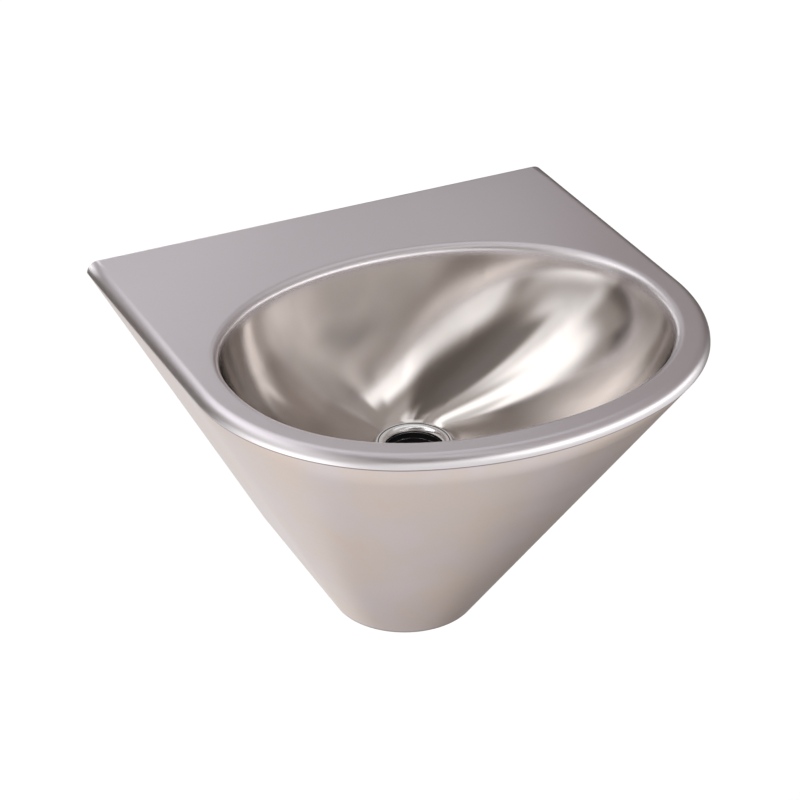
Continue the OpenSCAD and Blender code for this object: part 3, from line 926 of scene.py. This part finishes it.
class BuildBasin(bpy.types.Operator):
    """Presses the deck, bowl and rolled rim from one sheet, with its fold on the wall"""

    bl_idname = "hand_basin.basin"
    bl_label = "Basin"

    def execute(self, context):
        rim, bowl, waste = sizes("rim"), sizes("bowl"), sizes("waste")
        stations = deck_stations(rim, bowl)
        outline = deck_ring(rim, stations, 0, 0, 0)
        rays = [Vector((p.x, p.y + bowl.middle)) for p in outline]
        piece = loft("basin_pressing", self.rings(rim, bowl, waste, stations, rays))
        self.fold(piece, rim)
        turn_faces(piece, lambda face: face.calc_area(), (0, 0, 1))
        sheet_metal(piece, rim.sheet)
        self.mark_finish(piece, rim, bowl)
        dress(piece, basin_steel(), "basin")
        return {"FINISHED"}

    def rings(self, rim, bowl, waste, stations, rays):
        """Rings of the sheet's upper face, from the waste hole up the bowl and over the rim."""
        floor, seat_top = -bowl.depth, bowl.seat_drop - bowl.depth
        soft = 0.35 * MM
        outer = bowl.seat + bowl.seat_drop
        seat = [
            (bowl.hole, floor), (bowl.seat - 2 * soft, floor), (bowl.seat, floor + 0.3 * soft),
            (bowl.seat + soft, floor + soft), (outer - soft, seat_top - soft),
            (outer, seat_top - 0.3 * soft),
        ]
        rings = [seat_ring(bowl, waste, rays, radius, z) for radius, z in seat]
        spokes = [bowl_spoke(bowl, waste, ray) for ray in rays]
        rings += [bowl_ring(bowl, spokes, i / BOWL_STEPS) for i in range(1, BOWL_STEPS)]
        rings += [lip_ring(bowl, rays, spokes, i / LIP_STEPS) for i in range(LIP_STEPS, -1, -1)]
        hold = 1.5 * MM
        rings.append(mouth_ring(bowl, rays, bowl.lip + hold, 0))
        rings.append(deck_ring(rim, stations, rim.roll + hold, 0, -hold))
        for i in range(RIM_STEPS + 1):
            turn = QUARTER * i / RIM_STEPS
            inset, z = rim.roll * (1 - math.sin(turn)), rim.roll * (math.cos(turn) - 1)
            rings.append(deck_ring(rim, stations, inset, z, 0))
        return rings

    def fold(self, piece, rim):
        """Extrudes the rear edge down the wall."""
        def on_wall(edge):
            return len(edge.link_faces) == 1 and all(
                abs(v.co.y) < TOUCH and abs(v.co.x) < rim.fold_half + 10 * TOUCH
                and v.co.z < -0.9 * rim.roll for v in edge.verts
            )
        pick(piece, on_wall, "edges")
        drop = (0, 0, rim.roll - rim.fold)
        bpy.ops.mesh.extrude_edges_move(TRANSFORM_OT_translate={"value": drop})

    def mark_finish(self, piece, rim, bowl):
        """Marks the polish, which grows from the lip down into the bowl, and the painted highlight
        on the rolled rim and the lip."""
        polish = piece.data.attributes.new("polish", "FLOAT", "POINT")
        burnish = piece.data.attributes.new("burnish", "FLOAT", "POINT")
        middle = Vector((0, -bowl.middle))
        for vert in piece.data.vertices:
            ray = vert.co.to_2d() - middle
            edge = (mouth_point(bowl, ray, bowl.lip) - middle).length if ray.length > TOUCH else 1.0
            drop = -vert.co.z / bowl.lip
            # Painted highlight: outside the mouth it grows down the rolled rim, and inside it
            # covers the lip.
            if ray.length > edge:
                polished, tinted_band = 0.0, -2.9 * vert.co.z / rim.roll - 0.4
            else:
                polished, tinted_band = drop - 0.6, min(2.5 * drop, 1.6 - drop)
            polish.data[vert.index].value = max(0.0, min(1.0, polished))
            burnish.data[vert.index].value = max(0.0, min(1.0, tinted_band))


class BuildCover(bpy.types.Operator):
    """Rolls the tapering cover, with its folds on the wall and round the foot and its tabs"""

    bl_idname = "hand_basin.cover"
    bl_label = "Cover"

    def execute(self, context):
        rim, cover = sizes("rim"), sizes("cover")
        pairs = cover_sections(rim, cover)
        rings = []
        for z in (cover.top, cover.return_top, *COVER_RINGS, cover.foot):
            share = (cover.top - z) / (cover.top - cover.foot)
            rings.append([top.lerp(foot, share).to_3d() + Vector((0, 0, z)) for top, foot in pairs])
        piece = loft("tapering_cover", rings, closed=False)
        self.fold_foot(piece, cover)
        self.fold_wall(piece, cover)
        turn_faces(piece, lambda face: -face.calc_center_median().y, (0, -1, 0))
        sheet_metal(piece, rim.sheet, 0.8 * MM)
        hole_x = cover_side(rim, cover, cover.hole_height) - cover.wall_return / 2
        drill(piece, [(side * hole_x, 0, cover.hole_height) for side in (-1, 1)], cover.hole, "Y")
        join(piece, self.tabs(rim, cover))
        dress(piece, cover_steel(), "cover")
        return {"FINISHED"}

    def fold_foot(self, piece, cover):
        """Extrudes the foot's edge inwards, level."""
        pick(piece, lambda edge: all(abs(v.co.z - cover.foot) < TOUCH for v in edge.verts), "edges")
        bpy.ops.mesh.extrude_edges_move()
        mesh = bmesh.from_edit_mesh(piece.data)
        for vert in mesh.verts:
            if vert.select:
                away = Vector((vert.co.x, min(0.0, vert.co.y + cover.foot_straight)))
                step = away.normalized() * cover.foot_return
                vert.co.x -= step.x
                vert.co.y -= step.y
        bmesh.update_edit_mesh(piece.data)

    def fold_wall(self, piece, cover):
        """Extrudes the rear edges of both sides inwards, flat on the wall."""
        for side in (-1, 1):
            def rear(edge):
                return all(
                    abs(v.co.y) < TOUCH and v.co.x * side > cover.foot_radius - 10 * TOUCH
                    and v.co.z < cover.return_top + TOUCH for v in edge.verts
                )
            pick(piece, rear, "edges")
            bpy.ops.mesh.extrude_edges_move(
                TRANSFORM_OT_translate={"value": (-side * cover.wall_return, 0, 0)}
            )

    def tabs(self, rim, cover):
        """The six tabs under the rim: round ended, each with its hole."""
        fixing = sizes("fixing")
        root = fixing.inset - cover.inset - 1.4 * MM
        half = cover.tab_width / 2
        turns = [QUARTER + HALF_TURN * i / 24 for i in range(25)]
        end = [(half * math.cos(turn), half * math.sin(turn)) for turn in turns]
        points = [(x, y, cover.top) for x, y in [(root, half)] + end + [(root, -half)]]
        tab = chain("tab", points + points[:1])
        merge_doubles()
        bpy.ops.mesh.edge_face_add()
        turn_faces(tab, lambda face: face.calc_area(), (0, 0, 1))
        apply(tab, "SOLIDIFY", thickness=rim.sheet, offset=-1)
        soften(tab)
        drill(tab, [(0, 0, cover.top)], fixing.stud + 0.5 * MM)
        tabs = [copy_of(tab, spot) for spot in stud_places()]
        bpy.data.objects.remove(tab)
        return tabs


class BuildWaste(bpy.types.Operator):
    """Turns the waste with its grooved flange, rolled mouth, funnel and threaded tail"""

    bl_idname = "hand_basin.waste"
    bl_label = "Waste"

    def execute(self, context):
        waste = sizes("waste")
        centre = (0, -waste.behind)
        seat, top, foot = SEAL_HIGH.z, WASTE_HIGH.z, WASTE_LOW.z
        edge = 0.8 * MM
        outer = waste.flange - GROOVE_INSET
        inner = outer - GROOVE_WIDTH
        root = waste.tail - 0.6 * waste.pitch
        profile = [
            (root, NECK_FOOT), (waste.neck, NECK_FOOT), (waste.neck, seat),
            (waste.flange - 0.2 * MM, seat), (waste.flange, seat + 0.2 * MM),
        ]
        profile += quarter_round(waste.flange - edge, top - edge, edge, edge, 6)
        profile += [
            (outer + 0.15 * MM, top), (outer, top - 0.15 * MM),
            (outer - 0.1 * MM, top - GROOVE_DEPTH), (inner + 0.1 * MM, top - GROOVE_DEPTH),
        ]
        drop = top - 0.3 * MM - MOUTH_LOW
        profile += reversed(quarter_round(inner, MOUTH_LOW, waste.mouth - inner, drop, 14))
        profile += [
            (waste.mouth - 0.3 * MM, MOUTH_LOW - 0.8 * MM), (waste.bore, MOUTH_LOW - 6.3 * MM),
            (waste.bore, foot), (root - edge, foot), (root, foot + edge),
        ]
        piece = turned("waste", profile, centre)
        relief_top = BACKNUT_LOW.z - 2 * MM
        threads = [
            wound_thread("waste_thread", root, waste.tail, waste.pitch, low, high, 72)
            for low, high in ((foot + 0.5 * MM, relief_top - 2 * MM),
                              (relief_top, NECK_FOOT - 0.3 * MM))
        ]
        join(piece, [place(item, Matrix.Translation((*centre, 0))) for item in threads])
        dress(piece, waste_chrome(), "waste_body")
        return {"FINISHED"}


def quarter_round(radius, height, across, up, steps):
    """Points of a quarter ellipse in a profile, from its side at radius + across to its top."""
    turns = [QUARTER * i / steps for i in range(steps + 1)]
    return [(radius + across * math.cos(turn), height + up * math.sin(turn)) for turn in turns]


class BuildWasteRings(bpy.types.Operator):
    """Turns the seals and the slip washer, and cuts the brass backnut"""

    bl_idname = "hand_basin.waste_rings"
    bl_label = "Seals, washer and backnut"

    def execute(self, context):
        for node, slot, maker in (
            ("waste_upper_seal", "black_rubber", rubber),
            ("waste_lower_seal", "black_rubber", rubber),
            ("waste_slip_washer", "white_nylon", nylon),
        ):
            self.ring(node, slot, maker())
        self.backnut()
        return {"FINISHED"}

    def ring(self, node, slot, material):
        """A flat ring with softened edges."""
        waste = sizes("waste")
        low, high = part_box(node)
        inner = (waste.tail if node == "waste_slip_washer" else waste.neck) + 0.3 * MM
        soft = 0.22 * (high.z - low.z)
        less = 0.3 * soft
        profile = [
            (inner, low.z + soft), (inner + soft, low.z),
            (high.x - soft, low.z), (high.x - less, low.z + less), (high.x, low.z + soft),
            (high.x, high.z - soft), (high.x - less, high.z - less), (high.x - soft, high.z),
            (inner + soft, high.z), (inner, high.z - soft),
        ]
        piece = turned(node + "_ring", profile, (0, -waste.behind), 96)
        dress(piece, material, node)

    def backnut(self):
        """A hexagon cut back to a round pressure face, with broken corners and a bore."""
        waste = sizes("waste")
        piece = hexagon_nut(
            "brass_backnut", BACKNUT_HIGH.y - BACKNUT_LOW.y, BACKNUT_LOW.z, BACKNUT_HIGH.z,
            waste.tail + 0.05 * MM, 1.5 * MM
        )
        place(piece, Matrix.Translation((0, -waste.behind, 0)))
        dress(piece, brass(), "waste_backnut")


def hexagon_nut(name, flats, low, high, bore, face):
    """A hexagon nut on the upright axis. Its corners are turned off, and its top is round."""
    half = flats / 2
    deselect()
    bpy.ops.mesh.primitive_cylinder_add(
        vertices=6, radius=half * HEX_CORNER, depth=high - low, location=(0, 0, (low + high) / 2),
        rotation=(0, 0, QUARTER)
    )
    nut = bpy.context.object
    nut.name = name
    nut.data.name = name
    bpy.ops.object.transform_apply(location=True, rotation=True, scale=True)
    chamfer = half * (HEX_CORNER - 1)
    corner = half * HEX_CORNER * 1.001
    cut(nut, turned("turned_off", [
        (bore, low), (half * 0.98, low), (corner, low + chamfer * 0.6),
        (corner, high - face - chamfer * 0.3), (half, high - face), (half * 0.985, high),
        (bore, high),
    ], steps=96), "INTERSECT")
    soften(nut, 0.15 * MM, segments=1, angle=25)
    return nut


class BuildFixings(bpy.types.Operator):
    """Threads the welded studs and cuts the flange nuts under the deck"""

    bl_idname = "hand_basin.fixings"
    bl_label = "Studs and nuts"

    def execute(self, context):
        rim, fixing, cover = sizes("rim"), sizes("fixing"), sizes("cover")
        stud = self.stud(rim, fixing)
        nut = self.nut(rim, fixing, cover)
        for name, master, node in (("welded_studs", stud, "weld_studs"),
                                   ("tab_nuts", nut, "flange_nuts")):
            copies = [copy_of(master, spot) for spot in stud_places()]
            bpy.data.objects.remove(master)
            piece = join(copies[0], copies[1:])
            piece.name = name
            dress(piece, mill_steel(), node)
        return {"FINISHED"}

    def stud(self, rim, fixing):
        """One stud on the upright axis: a core with its weld flange, and its wound thread."""
        top = -rim.sheet
        foot = top - fixing.stud_length
        root = fixing.stud - 0.55 * fixing.pitch
        collar = fixing.stud + 0.75 * MM
        weld = top - 0.8 * MM
        profile = [
            (0.05 * MM, top), (collar, top), (collar, top - 0.5 * MM), (collar - 0.3 * MM, weld),
            (root, weld), (root, foot + 0.5 * MM), (root - 0.5 * MM, foot), (0.05 * MM, foot),
        ]
        piece = turned("stud", profile, steps=32)
        return join(piece, [wound_thread("stud_thread", root, fixing.stud, fixing.pitch,
                                         foot + 0.4 * MM, top - 1.0 * MM, 24)])

    def nut(self, rim, fixing, cover):
        """One flange nut on the upright axis, under the cover's tab."""
        top = cover.top - rim.sheet
        foot = top - 2 * fixing.stud
        under = top - 1.2 * MM
        bore = fixing.stud + 0.05 * MM
        nut = hexagon_nut("nut", fixing.flats, foot, top - 0.9 * MM, bore, 0.1 * MM)
        flange = turned("nut_flange", [
            (bore, top), (fixing.flange - 0.2 * MM, top), (fixing.flange, top - 0.2 * MM),
            (fixing.flange, top - 0.5 * MM), (fixing.flats / 2, under), (bore, under),
        ], steps=64)
        return join(nut, [flange])


class BuildHanging(bpy.types.Operator):
    """Bends the wall bracket and cuts the rail that hangs in it"""

    bl_idname = "hand_basin.hanging"
    bl_label = "Rail and wall bracket"

    def execute(self, context):
        self.rail()
        self.bracket()
        return {"FINISHED"}

    def rail(self):
        """A strip with round corners and soft edges."""
        centre = (RAIL_LOW + RAIL_HIGH) / 2
        size = RAIL_HIGH - RAIL_LOW
        deselect()
        bpy.ops.mesh.primitive_cube_add(size=1, location=centre, scale=size)
        piece = bpy.context.object
        bpy.ops.object.transform_apply(location=True, rotation=True, scale=True)
        piece.name = "welded_rail"
        bpy.ops.object.mode_set(mode="EDIT")
        pick(piece, lambda edge: abs(edge.verts[0].co.y - edge.verts[1].co.y) > TOUCH, "edges")
        bpy.ops.mesh.bevel(offset=3 * MM, segments=5)
        soften(piece)
        dress(piece, mill_steel(), "hanging_rail")

    def bracket(self):
        """A strip bent into a plate, a shelf and a hook, with its four screw holes."""
        hang = sizes("hanging")
        shelf, top = RAIL_LOW.z, BRACKET_HIGH.z
        gap = BRACKET_LOW.y + hang.sheet
        path = [(0, BRACKET_LOW.z), (0, shelf), (gap, shelf), (gap, top)]
        piece = bent_strip("bent_bracket", BRACKET_HIGH.x, path, (2.4 * MM, 1.0 * MM),
                           hang.sheet, 3 * MM)
        middle = (BRACKET_LOW.z + shelf - hang.sheet) / 2
        across, rise = hang.hole_span / 2, hang.hole_rise / 2
        holes = [(x * across, 0, middle + z * rise) for x in (-1, 1) for z in (-1, 1)]
        drill(piece, holes, hang.hole, "Y")
        dress(piece, mill_steel(), "wall_bracket")


class BuildEarth(bpy.types.Operator):
    """Bends the earth tag, and makes its screw and brass nut"""

    bl_idname = "hand_basin.earth"
    bl_label = "Earth tag, screw and nut"

    def execute(self, context):
        low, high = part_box("earth_tag")
        sheet = sizes("rim").sheet
        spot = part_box("earth_screw")
        axis = Matrix.Translation((0, (spot[0].y + spot[1].y) / 2, 0))
        radius = sizes("hanging").earth_screw
        path = [(low.y, low.z), (high.y, low.z), (high.y, high.z)]
        tag = bent_strip("bent_tag", high.x, path, (1.5 * MM,), sheet, 3 * MM)
        drill(tag, [tuple(axis.translation + Vector((0, 0, low.z)))], radius + 0.5 * MM)
        dress(tag, mill_steel(), "earth_tag")
        screw = self.screw(spot[0].z, low.z, spot[1].z, radius)
        dress(place(screw, axis), mill_steel(), "earth_screw")
        low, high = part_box("earth_nut")
        nut = hexagon_nut("tag_nut", high.y - low.y, low.z, high.z, radius + 0.05 * MM, 0.1 * MM)
        dress(place(nut, axis), brass(), "earth_nut")
        return {"FINISHED"}

    def screw(self, foot, seat, top, radius):
        """A pan-headed screw standing on its head, with a cross recess and a wound thread."""
        pitch, edge, slot, tip = 0.7 * MM, 0.9 * MM, 0.9 * MM, 0.4 * MM
        root, head = radius - 0.55 * pitch, 2 * radius
        profile = [(0.02 * MM, foot)]
        profile += reversed(quarter_round(head - edge, foot + edge, edge, -edge, 6))
        profile += [(head, seat), (root, seat), (root, top - tip), (root - tip, top)]
        piece = turned("tag_screw", profile + [(0.02 * MM, top)], steps=48)
        for turn in (0, QUARTER):
            deselect()
            bpy.ops.mesh.primitive_cube_add(
                size=1, location=(0, 0, foot), rotation=(0, 0, turn + QUARTER / 2),
                scale=(head, slot, 2.4 * MM)
            )
            cut(piece, bpy.context.object)
        return join(piece, [wound_thread("tag_screw_thread", root, radius, pitch,
                                         seat + 0.3 * MM, top - tip, 24)])


# Stage


@kept("node_groups", "Soft panel")
def soft_panel(name):
    """Group: 1 where a direction lies in a window round a heading and height, with soft edges."""
    labels = ("Azimuth", "Elevation", "Heading", "Height", "Half width", "Half height", "Edge")
    build, given = group_of(name, dict.fromkeys(labels, 0.0), ("Mask",))
    half = build.maths("MULTIPLY", given["Edge"], 0.5)
    aside = build.maths("SUBTRACT", given["Azimuth"], given["Heading"])
    aside = build.maths("WRAP", aside, 180.0, -180.0)
    above = build.maths("SUBTRACT", given["Elevation"], given["Height"])
    steps = []
    for away, reach in ((aside, given["Half width"]), (above, given["Half height"])):
        steps.append(build.spread(
            build.maths("ABSOLUTE", away), build.maths("SUBTRACT", reach, half),
            build.maths("ADD", reach, half), 1.0, 0.0, "SMOOTHSTEP"
        ))
    build.add("NodeGroupOutput", {"Mask": build.maths("MULTIPLY", *steps)})
    return build.tree


# Soft boxes and flags round the basin: heading from the front, width, height, tallness and soft
# edge, in degrees, and brightness. A later one covers an earlier one. These numbers weren't chosen
# by hand. A separate fitting program solved them, so that the basin comes out as light and dark as
# it is in the photograph, and the rows were named afterwards. It isn't a real studio's light.
PANELS = (
    ("room", 0, 400, 56, 75, 7, 0.45),
    ("back low", -154, 109, -66, 90, 7, 0.95),
    ("front-right high", 34, 103, 50, 21, 6, 0.60),
    ("back-left high", -149, 55, 67, 59, 16, 1.95),
    ("front", 2, 65, 15, 30, 10, 2.90),
    ("back-left flag", -165, 41, 16, 19, 6, 0.05),
    ("front high", -23, 91, 66, 28, 6, 1.25),
    ("front-right", 32, 46, 20, 16, 6, 1.70),
    ("wall", -174, 43, 6, 17, 6, 2.80),
    ("left", -83, 46, 38, 53, 18, 1.20),
    ("back-right high", 147, 135, 73, 40, 6, 0.95),
    ("camera flag high", -46, 56, 52, 36, 9, 0.15),
    ("camera flag", -26, 51, 41, 36, 17, 0.15),
    ("camera flag low", -14, 42, 0, 51, 18, 1.25),
    ("left edge", -70, 58, 16, 17, 18, 0.65),
    ("wall right", 164, 46, 30, 13, 6, 0.95),
    ("floor behind", 169, 113, -79, 24, 7, 0.50),
    ("key", -119, 50, 47, 23, 18, 2.00),
    ("right", 49, 74, 4, 33, 6, 2.85),
    ("front low", -14, 195, -42, 103, 6, 1.05),
    ("left low", -74, 45, -16, 50, 18, 2.05),
)
# Brightness, solved by the same program, and colour of the gaps between them
GAP_LEVEL = 0.15
GAP_COLOUR = (1.0, 0.86, 0.78, 1)


class BuildStage(bpy.types.Operator):
    """Lays the floor, sets the soft studio light and stands the camera"""

    bl_idname = "hand_basin.stage"
    bl_label = "Stage"

    def execute(self, context):
        self.floor()
        self.room()
        self.soft_boxes()
        self.lamp()
        self.camera(context)
        return {"FINISHED"}

    def floor(self):
        """A plain pale floor, as far below the basin as a washroom's."""
        deselect()
        bpy.ops.mesh.primitive_plane_add(size=FLOOR_SIZE, location=(0, 0, sizes("view").floor))
        floor = bpy.context.object
        floor.name = "pale_floor"
        floor.visible_glossy = False
        pale, build, shader = material_of("Pale floor")
        grain = build.add("ShaderNodeTexNoise", {"Scale": 3.0, "Detail": 2.0})
        tone = build.blend(grain.outputs["Fac"], (0.94, 0.94, 0.94, 1), (0.96, 0.96, 0.96, 1))
        build.tree.links.new(tone, shader.inputs["Base Color"])
        shader.inputs["Roughness"].default_value = 0.9
        floor.data.materials.append(pale)

    def room(self):
        """A white room: pure white to the camera, and even light for dull surfaces."""
        world = bpy.data.worlds.new("White room")
        bpy.context.scene.world = world
        world.use_nodes = True
        build = Tree(world.node_tree)
        path = build.add("ShaderNodeLightPath").outputs
        background = world.node_tree.nodes["Background"].inputs
        background["Color"].default_value = (1, 1, 1, 1)
        build.tree.links.new(build.mix(path["Is Camera Ray"], 1.08, 1.0), background["Strength"])

    def soft_boxes(self):
        """A dome that only the basin's metal sees: soft boxes, with darker gaps between them."""
        view = sizes("view")
        deselect()
        bpy.ops.mesh.primitive_uv_sphere_add(segments=48, ring_count=24, radius=view.dome,
                                             location=view.target)
        dome = bpy.context.object
        dome.name = "soft_box_dome"
        dome.visible_camera = dome.visible_diffuse = dome.visible_shadow = False
        dome.visible_transmission = False
        glow = bpy.data.materials.new("Soft boxes")
        glow.use_nodes = True
        glow.node_tree.nodes.clear()
        glow.cycles.emission_sampling = "NONE"
        build = Tree(glow.node_tree)
        way = build.axes(build.vector("NORMALIZE", build.here()))
        azimuth = build.maths("ARCTAN2", way["X"], build.maths("MULTIPLY", way["Y"], -1.0))
        azimuth = build.maths("DEGREES", azimuth)
        elevation = build.maths("DEGREES", build.maths("ARCSINE", way["Z"]))
        tone = GAP_LEVEL
        for name, heading, width, height, tall, edge, level in PANELS:
            keys = {"Azimuth": azimuth, "Elevation": elevation, "Heading": heading,
                    "Height": height, "Half width": width / 2, "Half height": tall / 2,
                    "Edge": edge}
            panel = build.add("ShaderNodeGroup", keys, node_tree=soft_panel(), label=name)
            tone = build.mix(panel.outputs["Mask"], tone, level)
        warmth = build.blend(build.spread(tone, 0.2, 0.9, 0.0, 1.0), GAP_COLOUR, (1, 1, 1, 1))
        lit = build.add("ShaderNodeEmission", {"Color": warmth, "Strength": tone}).outputs[0]
        build.add("ShaderNodeOutputMaterial", {"Surface": lit})
        dome.data.materials.append(glow)

    def lamp(self):
        """A weak lamp high on the left gives the floor its soft shadow."""
        light = bpy.data.lights.new("Soft lamp", "AREA")
        light.energy = LAMP_POWER
        light.size = LAMP_SIZE
        lamp = bpy.data.objects.new("Soft lamp", light)
        bpy.context.collection.objects.link(lamp)
        lamp.location = LAMP_PLACE
        aim(lamp, Vector(LAMP_TARGET))

    def camera(self, context):
        """The camera, on the photograph's line of sight."""
        view = sizes("view")
        target = Vector(view.target)
        level = math.cos(view.elevation)
        heading = Vector((math.sin(view.azimuth) * level, -math.cos(view.azimuth) * level,
                          math.sin(view.elevation)))
        lens = bpy.data.cameras.new("Photo camera")
        lens.lens = view.lens
        lens.sensor_width = 36
        camera = bpy.data.objects.new("Photo camera", lens)
        context.collection.objects.link(camera)
        camera.location = target + heading * view.distance
        aim(camera, target)
        context.scene.camera = camera
        context.scene.view_settings.view_transform = "Standard"


def aim(item, target):
    """Turns a lamp or camera to look at a point."""
    item.rotation_euler = (target - item.location).to_track_quat("-Z", "Y").to_euler()


# Add-on


GROUPS = {
    "rim": RimSizes, "bowl": BowlSizes, "cover": CoverSizes, "waste": WasteSizes,
    "fixing": FixingSizes, "hanging": HangingSizes, "colours": FinishColours, "view": ViewSizes,
}
PIECES = (BuildBasin, BuildCover, BuildWaste, BuildWasteRings, BuildFixings, BuildHanging,
          BuildEarth, BuildStage)


class HandBasinPanel(bpy.types.Panel):
    """Lists the sizes, colours and steps of the hand basin"""

    bl_idname = "VIEW3D_PT_hand_basin"
    bl_label = "Hand basin"
    bl_space_type = "VIEW_3D"
    bl_region_type = "UI"
    bl_category = "Hand basin"

    def draw(self, context):
        for name, group in GROUPS.items():
            box = self.layout.box()
            box.label(text=name.capitalize())
            settings = getattr(context.scene, "hand_basin_" + name)
            for key in group.__annotations__:
                box.prop(settings, key)
        for piece in PIECES:
            self.layout.operator(piece.bl_idname)


def register():
    """Adds the sizes, the steps and the panel to Blender."""
    for item in (*GROUPS.values(), *PIECES, HandBasinPanel):
        bpy.utils.register_class(item)
    for name, group in GROUPS.items():
        setattr(bpy.types.Scene, "hand_basin_" + name, bpy.props.PointerProperty(type=group))


def unregister():
    """Takes them away again."""
    for name in GROUPS:
        delattr(bpy.types.Scene, "hand_basin_" + name)
    for item in reversed((*GROUPS.values(), *PIECES, HandBasinPanel)):
        bpy.utils.unregister_class(item)


def main():
    """Makes the basin and its stage."""
    register()
    for build in (
        bpy.ops.hand_basin.basin, bpy.ops.hand_basin.cover, bpy.ops.hand_basin.waste,
        bpy.ops.hand_basin.waste_rings, bpy.ops.hand_basin.fixings, bpy.ops.hand_basin.hanging,
        bpy.ops.hand_basin.earth, bpy.ops.hand_basin.stage,
    ):
        build()
    deselect()
    bpy.context.view_layer.update()


if __name__ == "__main__":
    main()
